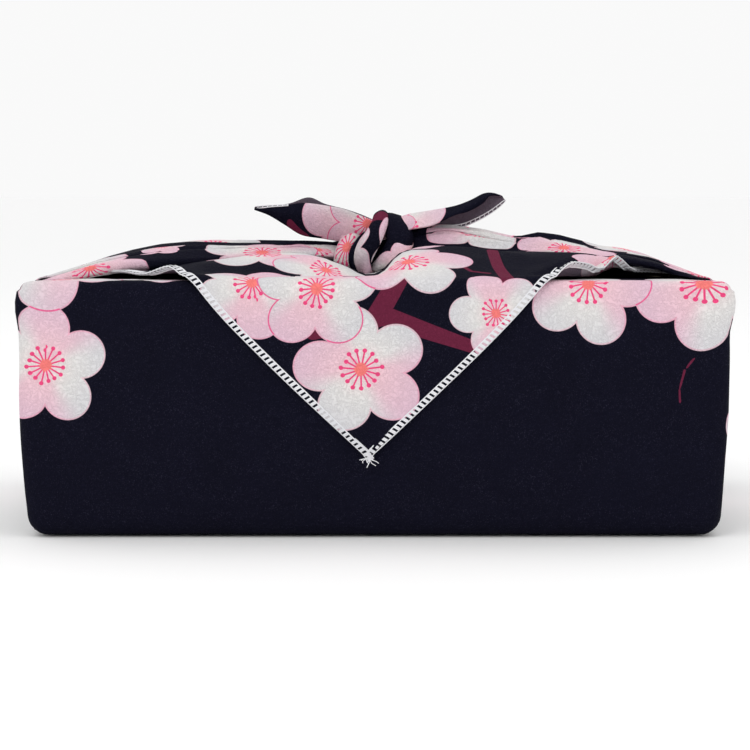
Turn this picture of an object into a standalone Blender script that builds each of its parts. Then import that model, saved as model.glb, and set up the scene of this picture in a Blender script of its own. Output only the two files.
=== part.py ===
"""Furoshiki wrap: one square cloth folded over a gift box and tied in a knot on top.

The cloth lies as a diamond under the box. Its near corner goes up the front and over the top, its far
corner comes over that and hangs down the front as a triangle, and its side corners are tied on top.
X runs along the box, the front faces -Y, and the underside of the cloth rests at Z = 0. Metres.
"""

import math

import bmesh
import bpy
from mathutils import Matrix, Vector

# Driving sizes
CLOTH_SIDE = 0.700
CLOTH_THICK = 0.0012
BOX_LENGTH = 0.290
BOX_DEPTH = 0.207
BOX_HEIGHT = 0.1013
GAP = 0.0004

# What follows from them
HALF_DIAGONAL = CLOTH_SIDE / math.sqrt(2)
MIDDLE = CLOTH_THICK / 2
TUCK_ROOM = CLOTH_THICK + 2 * GAP
WALL_X = BOX_LENGTH / 2 + GAP + MIDDLE
WALL_FRONT = -(BOX_DEPTH + TUCK_ROOM) / 2 - GAP - MIDDLE
WALL_BACK = -WALL_FRONT
BOX_Y = -TUCK_ROOM / 2
BOX_BOTTOM = CLOTH_THICK + GAP
BOX_TOP = BOX_BOTTOM + BOX_HEIGHT
NEAR_Z = BOX_TOP + GAP + MIDDLE
FAR_Z = NEAR_Z + CLOTH_THICK + 0.0006
TOP = NEAR_Z + MIDDLE

# Corners of the wrap
UPRIGHT_RADIUS = 0.007
FOOT_RADIUS = 0.008
EDGE_RADIUS = 0.0034
LIP = 0.0060
RIM_Z = NEAR_Z - EDGE_RADIUS
ROOT_Z = RIM_Z - 0.006
BOX_FOOT_RADIUS = 0.0072
BOX_LID_RADIUS = 0.0022
CORNER_STEPS = 4
# the underside's four corners, with the cloth folded in them, are this much lower than the rest
STAND = 0.00008

# Flaps: the near one from the front wall, and the far one that hangs over the front
NEAR_FULL = WALL_X - EDGE_RADIUS - 0.0002
FAR_FULL = WALL_X - 0.0060
FAR_OFF_CENTRE = -0.0025
HANG_FRONT = WALL_FRONT - CLOTH_THICK - 0.0008
HANG_LENGTH = HALF_DIAGONAL - (WALL_BACK + FAR_Z) - (WALL_BACK - HANG_FRONT)
TIP_WIDTH = 0.0022
SWELL_CLEAR = 0.0033
SWELL_SHARE = 0.5
SWELL_REACH = 0.022

# How far the side panel's slanting folds stand in from the upright edges, and how proud they are
PANEL_FOOT = 0.094
PANEL_TOP = 0.070
PANEL_PROUD = 0.0016
PANEL_STEP = 0.0022

# The knot, over the middle of the lid
KNOT_X = 0.003
KNOT_CELL = 0.0016
KNOT_KEPT = 0.4


def material(name, colour, roughness):
    """A plain Principled material in one colour."""
    made = bpy.data.materials.new(name)
    made.use_nodes = True
    shader = made.node_tree.nodes["Principled BSDF"]
    shader.inputs["Base Color"].default_value = (*colour, 1.0)
    shader.inputs["Roughness"].default_value = roughness
    shader.inputs["Metallic"].default_value = 0.0
    return made


def collection(name):
    made = bpy.data.collections.new(name)
    bpy.context.scene.collection.children.link(made)
    return made


def as_object(name, mesh, group):
    """Links a mesh in a collection as an object of that name."""
    made = bpy.data.objects.new(name, mesh)
    group.objects.link(made)
    return made


def hide(helper):
    """A helper is joined into the cloth and isn't a sub-part of its own."""
    helper.hide_render = True
    helper.display_type = "WIRE"
    return helper


def loft(name, rows, closed_across=False, capped=False):
    """A mesh through rows of points, each row with as many points as the next."""
    work = bmesh.new()
    grid = [[work.verts.new(point) for point in row] for row in rows]
    across = len(rows[0])
    steps = across if closed_across else across - 1
    for lower, upper in zip(grid, grid[1:]):
        for i in range(steps):
            j = (i + 1) % across
            work.faces.new((lower[i], lower[j], upper[j], upper[i]))
    if capped:
        work.faces.new(reversed(grid[0]))
        work.faces.new(grid[-1])
    bmesh.ops.remove_doubles(work, verts=work.verts, dist=1e-6)
    bmesh.ops.recalc_face_normals(work, faces=work.faces)
    mesh = bpy.data.meshes.new(name)
    work.to_mesh(mesh)
    work.free()
    return mesh


def thicken(sheet, thickness):
    """Gives an open sheet its thickness, half to each side."""
    solid = sheet.modifiers.new("Thickness", "SOLIDIFY")
    solid.thickness = thickness
    solid.offset = 0.0
    return sheet


def mixed(a, b, share):
    return a + (b - a) * share


def read(table, column, at):
    """Reads a named column of a table at a place along it, smoothly between its rows."""
    for low, high in zip(table, table[1:]):
        if at <= high["at"]:
            share = max(0.0, (at - low["at"]) / (high["at"] - low["at"]))
            return mixed(low[column], high[column], share)
    return table[-1][column]


def rounded(corners, radius, steps=CORNER_STEPS):
    """A flat path through the corners, each inner one turned with an arc of that radius."""
    path = [Vector(corners[0])]
    for before, corner, after in zip(corners, corners[1:], corners[2:]):
        corner = Vector(corner)
        back = (Vector(before) - corner).normalized()
        ahead = (Vector(after) - corner).normalized()
        half = back.angle(ahead) / 2
        centre = corner + (back + ahead).normalized() * radius / math.sin(half)
        start = corner + back * radius / math.tan(half) - centre
        end = corner + ahead * radius / math.tan(half) - centre
        for k in range(steps + 1):
            share = k / steps
            path.append(centre + radius * start.slerp(end, share))
    path.append(Vector(corners[-1]))
    return path


def spaced(path, longest):
    """The same path with extra points, so that no step is longer than that."""
    made = [path[0]]
    for a, b in zip(path, path[1:]):
        count = max(1, math.ceil((b - a).length / longest))
        made += [a.lerp(b, k / count) for k in range(1, count + 1)]
    return made


def lengths_to_end(path):
    """How far each point of a path is from the path's end, along it."""
    left = [0.0]
    for a, b in zip(reversed(path[:-1]), reversed(path[1:])):
        left.append(left[-1] + (b - a).length)
    return left[::-1]


# The tub: the cloth under the box and up its four sides


def fold_line(z):
    """Half the width of the side panel at a height, between its two slanting folds."""
    return mixed(PANEL_FOOT, PANEL_TOP, min(1.0, z / RIM_Z))


def side_stations(z):
    """Places from front to back on a side wall, with how proud the cloth stands there."""
    inner = fold_line(z)
    proud = PANEL_PROUD * min(1.0, z / (3 * FOOT_RADIUS), max(0.0, (NEAR_Z - z) / 0.015))
    half = [(inner + PANEL_STEP, 0.0), (inner, proud), (inner * 0.5, proud * 1.2)]
    front = [(-y, out) for y, out in half]
    return front + [(0.0, proud * 1.1)] + [(y, out) for y, out in reversed(half)]


def long_stations():
    """Places along the front or back wall."""
    return [-0.11, -0.055, 0.0, 0.055, 0.11]


def ring(z, inset, flare):
    """One level of the tub's wall, anticlockwise seen from above, starting on the front."""
    half_x = WALL_X - inset
    half_y = WALL_BACK - inset
    bulge = 0.0008 * math.sin(math.pi * min(1.0, z / ROOT_Z))
    points = []

    def corner(sign_x, sign_y, start):
        centre = Vector((sign_x * (half_x - UPRIGHT_RADIUS), sign_y * (half_y - UPRIGHT_RADIUS)))
        for k in range(CORNER_STEPS + 1):
            angle = start + math.pi / 2 * k / CORNER_STEPS
            reach = UPRIGHT_RADIUS + flare * math.sin(2 * (angle - start))
            points.append(centre + reach * Vector((math.cos(angle), math.sin(angle))))

    for x in long_stations():
        points.append(Vector((x, -half_y - bulge)))
    corner(1, -1, -math.pi / 2)
    for y, out in side_stations(z):
        points.append(Vector((half_x + out, y)))
    corner(1, 1, 0.0)
    for x in reversed(long_stations()):
        points.append(Vector((x, half_y + bulge)))
    corner(-1, 1, math.pi / 2)
    for y, out in reversed(side_stations(z)):
        points.append(Vector((-half_x - out, y)))
    corner(-1, -1, math.pi)
    return [(p.x, p.y, z) for p in points]


def at_corner(x, y):
    """Is this point of the underside's outline the middle of one of its four rounded corners?"""
    past_x = abs(x) - (WALL_X - FOOT_RADIUS - UPRIGHT_RADIUS)
    past_y = abs(y) - (WALL_BACK - FOOT_RADIUS - UPRIGHT_RADIUS)
    return min(past_x, past_y) > 0.6 * UPRIGHT_RADIUS


def tub_mesh():
    """Bottom, four walls and the lip that folds in over the box's lid, as one open sheet."""
    rows = []
    for k in range(CORNER_STEPS + 1):
        angle = math.pi / 2 * k / CORNER_STEPS
        inset = FOOT_RADIUS * (1 - math.sin(angle))
        rows.append(ring(MIDDLE + FOOT_RADIUS * (1 - math.cos(angle)), inset, 0.0))
    rows[0] = [(x, y, z if at_corner(x, y) else z + STAND) for x, y, z in rows[0]]
    for share, flare in ((0.35, 0.0), (0.7, 0.0), (0.9, 0.0008), (1.0, 0.0014)):
        rows.append(ring(mixed(MIDDLE + FOOT_RADIUS, RIM_Z, share), 0.0, flare))
    for k in range(1, CORNER_STEPS + 1):
        angle = math.pi / 2 * k / CORNER_STEPS
        inset = EDGE_RADIUS * (1 - math.cos(angle))
        rows.append(ring(RIM_Z + EDGE_RADIUS * math.sin(angle), inset, 0.0008 * (1 - k / CORNER_STEPS)))
    rows.append(ring(NEAR_Z, LIP, 0.0))
    mesh = loft("tub", rows, closed_across=True)
    work = bmesh.new()
    work.from_mesh(mesh)
    foot = [e for e in work.edges if e.is_boundary and e.verts[0].co.z < 2 * MIDDLE]
    bmesh.ops.contextual_create(work, geom=foot)
    bmesh.ops.recalc_face_normals(work, faces=work.faces)
    work.to_mesh(mesh)
    work.free()
    return mesh


# The side corners, gathered over the lid to the knot. at: distance from the middle of the wrap;
# front and back: the gathered edges; edge: their height over the lid; left and right: the height
# of the crown on that side; fold: depth of the pleats
BAND = tuple(
    dict(zip(("at", "front", "back", "edge", "left", "right", "fold"), row))
    for row in (
        (0.018, -0.011, 0.012, 0.0090, 0.0120, 0.0125, 0.0018),
        (0.030, -0.014, 0.016, 0.0086, 0.0136, 0.0146, 0.0028),
        (0.050, -0.024, 0.028, 0.0078, 0.0142, 0.0160, 0.0030),
        (0.065, -0.032, 0.037, 0.0072, 0.0144, 0.0166, 0.0028),
        (0.083, -0.042, 0.047, 0.0062, 0.0142, 0.0164, 0.0024),
        (0.102, -0.060, 0.064, 0.0052, 0.0120, 0.0128, 0.0016),
        (0.121, -0.080, 0.082, 0.0040, 0.0080, 0.0098, 0.0010),
        (0.132, -0.091, 0.092, 0.0034, 0.0050, 0.0064, 0.0005),
        (0.140, -0.096, 0.096, 0.0031, 0.0034, 0.0040, 0.0001),
    )
)

# The two flaps that cross the lid


def near_path():
    """From inside the front wall, over the lid and down behind the box to the hidden tip."""
    back = BOX_Y + BOX_DEPTH / 2 + GAP + MIDDLE
    lid = back - WALL_FRONT
    tip = HALF_DIAGONAL - (WALL_BACK + NEAR_Z) - lid
    corners = [(WALL_FRONT, ROOT_Z), (WALL_FRONT, NEAR_Z), (back, NEAR_Z), (back, NEAR_Z - tip)]
    return spaced(rounded(corners, EDGE_RADIUS), 0.030)


def far_path():
    """From inside the back wall, over the lid, and down the front to the tip that hangs there."""
    tip = FAR_Z - HANG_LENGTH
    corners = [(WALL_BACK, ROOT_Z), (WALL_BACK, FAR_Z), (HANG_FRONT, FAR_Z), (HANG_FRONT, tip)]
    return spaced(rounded(corners, EDGE_RADIUS + 0.001), 0.014)


def shoulder(x, y):
    """How far the hanging flap lifts off the lid near the front edge, more at the right."""
    if y < WALL_FRONT + 0.001:
        return 0.0
    back = math.exp(-(((y - WALL_FRONT - 0.018) / 0.016) ** 2))
    left = 0.0050 * math.exp(-(((x + 0.088) / 0.016) ** 2))
    right = 0.0070 * math.exp(-(((x - 0.090) / 0.018) ** 2))
    return back * (left + right)


def swell(x, y):
    """How far the flap rises under the gathered bands, which it stays clear of."""
    along = abs(x)
    if along > BAND[-1]["at"]:
        return 0.0
    edge = read(BAND, "edge", along)
    half = (read(BAND, "back", along) - read(BAND, "front", along)) / 2
    knot = min(1.0, max(0.0, (abs(x - KNOT_X) - 0.010) / 0.016))
    spread = 1 / (1 + (y / (half + SWELL_REACH)) ** 6)
    arch = (read(BAND, "left", along) - edge) * max(0.0, 1 - (y / half) ** 2)
    within = min(1.0, max(0.0, (along - 0.034) / 0.02))
    return max(0.0, edge - SWELL_CLEAR) * knot * spread + SWELL_SHARE * arch * within


def corner_draw(x, y):
    """How far the upright corners set a flap in from the wall it grows out of."""
    over = abs(x) - (WALL_X - UPRIGHT_RADIUS)
    if over <= 0:
        return 0.0
    draw = UPRIGHT_RADIUS - math.sqrt(max(0.0, UPRIGHT_RADIUS**2 - over**2))
    return draw * max(0.0, 1 - (WALL_BACK - abs(y)) / 0.015)


def flap_rows(path, across, is_far):
    """Rows of a flap: as wide as a square cloth's corner is at that distance from its tip."""
    rows = []
    widest = FAR_FULL if is_far else NEAR_FULL
    flat = (WALL_X - UPRIGHT_RADIUS) / widest
    inner = [flat * (2 * k / across - 1) for k in range(across + 1)]
    shares = [-1, -(1 + flat) / 2] + inner + [(1 + flat) / 2, 1]
    for (y, z), left in zip(path, lengths_to_end(path)):
        half = max(TIP_WIDTH / 2, min(widest, left))
        shift = FAR_OFF_CENTRE * (1 - half / widest) if is_far else 0.0
        row = []
        for share in shares:
            x = half * share + shift
            lift = shoulder(x, y) + swell(x, y) if is_far and left > HANG_LENGTH else 0.0
            draw = math.copysign(corner_draw(x, y), y)
            row.append((x, y - draw, z + lift))
        rows.append(row)
    return rows


# The two gathered bands, which come up from inside the side walls

BAND_COLUMNS = 16


def band_rows(side):
    """Rows of one gathered corner from inside its side wall to the knot; side is -1 or 1."""
    rows = []
    root = WALL_BACK - UPRIGHT_RADIUS - 0.001
    for z, draw in ((ROOT_Z, 0.0), (RIM_Z, 0.0), (TOP + 0.0006, 0.0007), (TOP + 0.0024, 0.0028)):
        row = []
        for k in range(BAND_COLUMNS + 1):
            y = (root - draw) * (2 * k / BAND_COLUMNS - 1)
            row.append((side * (WALL_X - draw), y, z))
        rows.append(row)
    crown = "left" if side < 0 else "right"
    for step in reversed(BAND):
        row = []
        for k in range(BAND_COLUMNS + 1):
            share = 2 * k / BAND_COLUMNS - 1
            y = mixed(step["front"], step["back"], (share + 1) / 2)
            arch = mixed(step["edge"], step[crown], 1 - abs(share) ** 2.2)
            pleat = step["fold"] * (1 if k % 2 else 0)
            uneven = 1 + 0.35 * math.sin(2.1 * k + 1.3 * side)
            row.append((side * step["at"] + KNOT_X * 0.4, y, TOP + arch + pleat * uneven))
        rows.append(row)
    return rows


# The knot: three turns of gathered cloth round a core, each at its place over the lid

TURNS = (
    {"x": -0.0120, "z": 0.0150, "radius": 0.0072, "tube": 0.0050, "lean": 12, "swing": 10},
    {"x": -0.0015, "z": 0.0165, "radius": 0.0078, "tube": 0.0056, "lean": -16, "swing": 18},
    {"x": 0.0095, "z": 0.0163, "radius": 0.0076, "tube": 0.0058, "lean": 14, "swing": -14},
)
CORE = (
    {"x": -0.030, "y": 0.001, "z": 0.0102, "wide": 0.0125, "tall": 0.0058},
    {"x": -0.018, "y": 0.000, "z": 0.0104, "wide": 0.0095, "tall": 0.0072},
    {"x": 0.000, "y": 0.000, "z": 0.0125, "wide": 0.0105, "tall": 0.0100},
    {"x": 0.016, "y": 0.000, "z": 0.0112, "wide": 0.0100, "tall": 0.0078},
    {"x": 0.034, "y": 0.001, "z": 0.0104, "wide": 0.0125, "tall": 0.0058},
)
CORE_SIDES = 14


def turn_mesh(row):
    """One turn of the knot: a torus stood upright across the core, leaning and swung a little."""
    bpy.ops.mesh.primitive_torus_add(
        major_radius=row["radius"],
        minor_radius=row["tube"],
        major_segments=28,
        minor_segments=14,
        location=(KNOT_X + row["x"], 0.0, TOP + row["z"]),
        rotation=(0.0, math.radians(90 + row["lean"]), math.radians(row["swing"])),
    )
    return bpy.context.object


def core_rows():
    rows = []
    for row in CORE:
        centre = Vector((KNOT_X + row["x"], row["y"], TOP + row["z"]))
        points = []
        for k in range(CORE_SIDES):
            angle = 2 * math.pi * k / CORE_SIDES
            across = row["wide"] * math.cos(angle)
            up = row["tall"] * math.sin(angle)
            points.append(centre + Vector((0.0, across, up)))
        rows.append(points)
    return rows


def knot_object(group):
    """The turns and the core grown into one lump of tied cloth."""
    work = bmesh.new()
    core = loft("core", core_rows(), closed_across=True, capped=True)
    work.from_mesh(core)
    bpy.data.meshes.remove(core)
    for row in TURNS:
        turn = turn_mesh(row)
        placed = turn.data.copy()
        placed.transform(turn.matrix_basis)
        work.from_mesh(placed)
        bpy.data.objects.remove(turn)
    mesh = bpy.data.meshes.new("knot")
    work.to_mesh(mesh)
    work.free()
    knot = hide(as_object("knot_shape", mesh, group))
    grown = knot.modifiers.new("Grown together", "REMESH")
    grown.mode = "VOXEL"
    grown.voxel_size = KNOT_CELL
    fewer = knot.modifiers.new("Fewer faces", "DECIMATE")
    fewer.ratio = KNOT_KEPT
    return knot


# The tied corners' free ends: each a folded leaf of cloth. at: place along it; x, y, z: its fold;
# tall: height of the leaf over the fold; open: how far its two layers part at the free edge

LEFT_END = (
    {"x": 0.0000, "y": -0.0015, "z": 0.0140, "tall": 0.0120, "open": 0.0060, "lean": 0.002},
    {"x": -0.0130, "y": -0.0040, "z": 0.0140, "tall": 0.0155, "open": 0.0078, "lean": 0.002},
    {"x": -0.0260, "y": -0.0060, "z": 0.0152, "tall": 0.0180, "open": 0.0080, "lean": 0.001},
    {"x": -0.0370, "y": -0.0070, "z": 0.0180, "tall": 0.0150, "open": 0.0066, "lean": -0.003},
    {"x": -0.0480, "y": -0.0080, "z": 0.0236, "tall": 0.0075, "open": 0.0046, "lean": -0.006},
    {"x": -0.0565, "y": -0.0085, "z": 0.0275, "tall": 0.0016, "open": 0.0024, "lean": -0.003},
)
RIGHT_END = (
    {"x": 0.0040, "y": -0.0020, "z": 0.0170, "tall": 0.0090, "open": 0.0055, "lean": 0.002},
    {"x": 0.0160, "y": -0.0035, "z": 0.0188, "tall": 0.0096, "open": 0.0070, "lean": 0.003},
    {"x": 0.0280, "y": -0.0045, "z": 0.0198, "tall": 0.0106, "open": 0.0090, "lean": 0.005},
    {"x": 0.0385, "y": -0.0050, "z": 0.0222, "tall": 0.0108, "open": 0.0100, "lean": 0.007},
    {"x": 0.0490, "y": -0.0052, "z": 0.0272, "tall": 0.0092, "open": 0.0080, "lean": 0.006},
    {"x": 0.0575, "y": -0.0050, "z": 0.0330, "tall": 0.0044, "open": 0.0040, "lean": 0.003},
)


def end_rows(table):
    """Rows of a folded end: up the front layer's edge, round the fold, and up the back layer."""
    rows = []
    for row in table:
        fold = Vector((KNOT_X + row["x"], row["y"], TOP + row["z"]))
        part = row["open"] / 2
        bow = max(0.0014, part)
        front = [(-part, 1.0), (-bow * 1.15, 0.62), (-bow, 0.25)]
        points = []
        for y, up in front + [(0.0, 0.0)] + [(-y, up) for y, up in reversed(front)]:
            points.append(fold + Vector((row["lean"] * up, y, row["tall"] * up)))
        rows.append(points)
    return rows


def gift_box(group, finish):
    """The plain closed box inside, softly rounded where the cloth is."""
    bpy.ops.mesh.primitive_cube_add(size=1.0)
    box = bpy.context.object
    box.name = "gift_box"
    size = Matrix.Diagonal((BOX_LENGTH, BOX_DEPTH, BOX_HEIGHT, 1.0))
    centre = Vector((0.0, BOX_Y, (BOX_BOTTOM + BOX_TOP) / 2))
    box.data.transform(Matrix.Translation(centre) @ size)
    for other in list(box.users_collection):
        other.objects.unlink(box)
    group.objects.link(box)
    work = bmesh.new()
    work.from_mesh(box.data)
    low = [e for e in work.edges if min(v.co.z for v in e.verts) < centre.z]
    bmesh.ops.bevel(work, geom=low, offset=BOX_FOOT_RADIUS, segments=3, affect="EDGES", profile=0.5)
    lid = [e for e in work.edges if min(v.co.z for v in e.verts) > BOX_TOP - 1e-5]
    bmesh.ops.bevel(work, geom=lid, offset=BOX_LID_RADIUS, segments=2, affect="EDGES", profile=0.5)
    work.to_mesh(box.data)
    work.free()
    box.data.materials.append(finish)
    return box


def main():
    for old in list(bpy.data.objects):
        bpy.data.objects.remove(old)
    wrap = collection("furoshiki wrap on a box")
    joined = collection("joined into the cloth")
    cloth_finish = material("printed crepe", (0.012, 0.012, 0.022), 0.75)
    card_finish = material("box card", (0.62, 0.56, 0.47), 0.8)

    cloth = as_object("furoshiki", tub_mesh(), wrap)
    cloth.data.materials.append(cloth_finish)
    thicken(cloth, CLOTH_THICK)

    thin = CLOTH_THICK - 0.0001
    flaps = (
        ("near_flap", flap_rows(near_path(), 8, False)),
        ("far_flap", flap_rows(far_path(), 16, True)),
        ("left_band", band_rows(-1)),
        ("right_band", band_rows(1)),
        ("left_end", end_rows(LEFT_END)),
        ("right_end", end_rows(RIGHT_END)),
    )
    helpers = [thicken(hide(as_object(name, loft(name, rows), joined)), thin) for name, rows in flaps]
    helpers.append(knot_object(joined))
    for helper in helpers:
        union = cloth.modifiers.new("Join " + helper.name, "BOOLEAN")
        union.operation = "UNION"
        union.object = helper
    gift_box(wrap, card_finish)


main()
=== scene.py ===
# %% [markdown]
# # A furoshiki wrap, from one square of printed crepe
#
# A furoshiki is a square wrapping cloth. Here it goes round an oblong gift box: the near corner is
# folded over the box, the far corner comes over that and hangs down the front as a triangle, and the
# two side corners are gathered over the lid and tied in a square knot. The gift box is hidden inside.
#
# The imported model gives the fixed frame: metres, X along the box, front facing -Y, Z up.

import math

import bmesh
import bpy
import numpy as np
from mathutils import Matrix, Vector, noise


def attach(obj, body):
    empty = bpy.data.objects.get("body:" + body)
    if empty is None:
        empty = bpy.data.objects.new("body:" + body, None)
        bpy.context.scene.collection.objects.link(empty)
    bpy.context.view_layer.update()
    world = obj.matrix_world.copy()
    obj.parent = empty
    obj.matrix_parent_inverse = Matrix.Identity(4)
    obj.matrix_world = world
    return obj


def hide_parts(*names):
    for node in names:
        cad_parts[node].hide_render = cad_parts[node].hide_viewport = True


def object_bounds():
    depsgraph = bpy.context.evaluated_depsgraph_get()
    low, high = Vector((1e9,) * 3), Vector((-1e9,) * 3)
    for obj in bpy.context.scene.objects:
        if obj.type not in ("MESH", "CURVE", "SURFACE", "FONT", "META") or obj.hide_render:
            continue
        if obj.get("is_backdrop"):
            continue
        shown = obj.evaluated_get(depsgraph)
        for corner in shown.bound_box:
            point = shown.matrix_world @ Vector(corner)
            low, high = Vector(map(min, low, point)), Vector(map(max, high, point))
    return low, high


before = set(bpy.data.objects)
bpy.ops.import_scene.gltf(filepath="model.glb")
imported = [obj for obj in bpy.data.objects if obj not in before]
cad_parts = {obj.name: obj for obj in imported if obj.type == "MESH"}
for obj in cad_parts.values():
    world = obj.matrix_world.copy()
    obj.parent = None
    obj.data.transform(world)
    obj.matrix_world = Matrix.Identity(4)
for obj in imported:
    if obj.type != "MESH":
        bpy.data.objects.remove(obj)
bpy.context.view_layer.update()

# %% [markdown]
# ## The sizes of the wrap
#
# The cloth is 0.70 m square and lies as a diamond, so each corner reaches 0.495 m from the middle of
# the underside. Everything else follows from how far each corner has to travel: under the box, up a
# wall, over the lid. Heights below are of the cloth's middle surface where it lies on that part. Along
# the front edge the gathered cloth stands a few millimetres off the box.

# %% Sizes
CLOTH_SIDE = 0.700
REACH = CLOTH_SIDE / math.sqrt(2)
THICK = 0.0006

WALL_X = 0.1460
WALL_Y = 0.1049
FOOT_RADIUS = 0.0080
UPRIGHT_RADIUS = 0.0070
EDGE_RADIUS = 0.0040
UNDER_Z = 0.0006
NEAR_Z = 0.1076
FAR_Z = 0.1057
LID = 0.1045
BOX_TOP = 0.1039
SIDE_Z = LID + 0.0026
LIP = 0.0060
STRAIGHT_X = WALL_X - UPRIGHT_RADIUS
STRAIGHT_Y = WALL_Y - UPRIGHT_RADIUS
HANG = 0.0773
print(f"the corner hangs {HANG * 1000:.0f} mm over the front edge")

# %% [markdown]
# ## Sheets made from rows of points
#
# A folded sheet is easiest to shape as a grid: rows of points run across the cloth, and each row is a
# section through its folds. Every point also keeps its place on the flat, unfolded cloth, which is
# what the print follows. Small tables hold the sections, read smoothly between their rows.


# %% Helpers for sheets
def smooth(a, b, x):
    """0 up to a, 1 from b on, and an even turn between them."""
    t = np.clip((x - a) / (b - a), 0.0, 1.0)
    return t * t * (3 - 2 * t)


def read(table, column, at):
    """A column of a table at a place along it; the first column is that place."""
    return float(np.interp(at, [row[0] for row in table], [row[column] for row in table]))


def bump(x, centre, width):
    return math.exp(-(((x - centre) / width) ** 2))


def uneven(x, y, z, size, seed=0.0):
    """A soft unevenness from -1 to 1 with waves of about that size."""
    return noise.noise(Vector((x / size + seed, y / size - seed, z / size)))


def through(places, values, at):
    """A smooth line through a few given heights, read at any places."""
    places, values, at = np.array(places, float), np.array(values, float), np.atleast_1d(at)
    slopes = np.gradient(values, places)
    i = np.clip(np.searchsorted(places, at) - 1, 0, len(places) - 2)
    width = places[i + 1] - places[i]
    t = np.clip((at - places[i]) / width, 0.0, 1.0)
    low, high = values[i], values[i + 1]
    line = (1 + 2 * t) * (1 - t) ** 2 * low + t * t * (3 - 2 * t) * high
    return line + t * (1 - t) * width * ((1 - t) * slopes[i] - t * slopes[i + 1])


def shares(columns):
    """Places across a row of points, from -1 to 1."""
    return [2 * k / columns - 1 for k in range(columns + 1)]


def run_along(points):
    """How far along a line each of its points is."""
    return np.concatenate([[0], np.cumsum(np.linalg.norm(np.diff(points, axis=0), axis=1))])


patches = {}


def add_patch(name, rows, centre=(0.0, 0.0, 0.05)):
    """Keeps one grid of the cloth: rows of (point, its place on the flat cloth)."""
    points = np.array([[point for point, _place in row] for row in rows], float)
    plane = np.array([[place for _point, place in row] for row in rows], float)
    if centre is None:
        centre = points.mean(axis=(0, 1))
    across = points[:-1, 1:] - points[:-1, :-1]
    along = points[1:, :-1] - points[:-1, :-1]
    away = (points[:-1, :-1] + points[1:, 1:]) / 2 - np.array(centre)
    printed_out = float((np.cross(across, along) * away).sum()) > 0
    patches[name] = (points, plane, printed_out)
    print(f"{name}: {points.shape[0]} x {points.shape[1]} points")


# %% [markdown]
# ## Round the box: underside and walls
#
# The cloth lies flat under the box and turns up at its four lower edges. On the real wrap the cloth is
# soft and a little slack, so the walls are not quite flat and the lower edges are round. The whole
# sleeve is one grid: each column climbs from the underside to the top edge at one place round the box.


# %% Columns round the box
FRONT_COLUMNS, BACK_COLUMNS, SIDE_COLUMNS, CORNER_COLUMNS = 72, 72, 56, 6


def columns_round():
    """Places round the box: (kind, place on the straight part or angle, sign x, sign y)."""
    made = [("front", x, 0, -1) for x in np.linspace(-STRAIGHT_X, STRAIGHT_X, FRONT_COLUMNS + 1)]
    turn = [math.pi / 2 * k / CORNER_COLUMNS for k in range(1, CORNER_COLUMNS)]
    made += [("corner", a, 1, -1) for a in turn]
    made += [("side", y, 1, 0) for y in np.linspace(-STRAIGHT_Y, STRAIGHT_Y, SIDE_COLUMNS + 1)]
    made += [("corner", math.pi / 2 - a, 1, 1) for a in turn]
    made += [("back", x, 0, 1) for x in np.linspace(STRAIGHT_X, -STRAIGHT_X, BACK_COLUMNS + 1)]
    made += [("corner", a, -1, 1) for a in turn]
    made += [("side", y, -1, 0) for y in np.linspace(STRAIGHT_Y, -STRAIGHT_Y, SIDE_COLUMNS + 1)]
    made += [("corner", math.pi / 2 - a, -1, -1) for a in turn]
    return made


def outward(column):
    """The place on the wall's outline, and which way is out."""
    kind, at, sx, sy = column
    if kind == "front" or kind == "back":
        return Vector((at, sy * WALL_Y)), Vector((0.0, float(sy)))
    if kind == "side":
        return Vector((sx * WALL_X, at)), Vector((float(sx), 0.0))
    centre = Vector((sx * STRAIGHT_X, sy * STRAIGHT_Y))
    out = Vector((sx * math.sin(at), sy * math.cos(at)))
    return centre + UPRIGHT_RADIUS * out, out


def panel_half(z):
    """Half the width of the side panel at a height."""
    return 0.0945 - 0.0215 * z / (SIDE_Z - EDGE_RADIUS)


def flat_place(column, rise, z):
    """The same point on the flat cloth: so far up and over from the foot of the wall."""
    kind, at, sx, sy = column
    if kind == "front" or kind == "back":
        return at, sy * (WALL_Y + rise)
    if kind == "side" and abs(at) < panel_half(z) - 0.0015:
        return sx * (WALL_X + rise), at
    if kind == "side":
        fold = math.copysign(1.0, at)
        return sx * (WALL_X + WALL_Y - abs(at)), fold * (WALL_Y + rise)
    return sx * (STRAIGHT_X + UPRIGHT_RADIUS * at), sy * (WALL_Y + rise)


def brim(column):
    """How high the cloth stands where it turns in over the lid."""
    kind, at, _sx, sy = column
    low = NEAR_Z if sy < 0 else FAR_Z
    if kind == "front" or kind == "back":
        return low
    if kind == "side":
        return SIDE_Z
    return low + (SIDE_Z - low) * smooth(0.0, math.pi / 2, at)


# %% The sleeve
# height, and how much more the end walls stand out there
BULGE = (
    (0.0, 0.010, 0.027, 0.050, 0.075, 0.092, 0.104),
    (-0.0006, 0.0, 0.0010, 0.0018, 0.0022, 0.0022, 0.0012),
)


def sleeve_rows():
    """Rows from the middle of the underside out to the foot, up the walls and over the top edge."""
    rows = [("under", inset) for inset in (0.0930, 0.075, 0.058, 0.042, 0.028, 0.017, 0.011)]
    rows += [("foot", math.pi / 2 * k / 6) for k in range(7)]
    rows += [("wall", share) for share in np.linspace(0, 1, 24)[1:]]
    rows += [("brim", math.pi / 2 * k / 6) for k in range(1, 7)]
    rows += [("lip", LIP)]
    return rows


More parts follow.
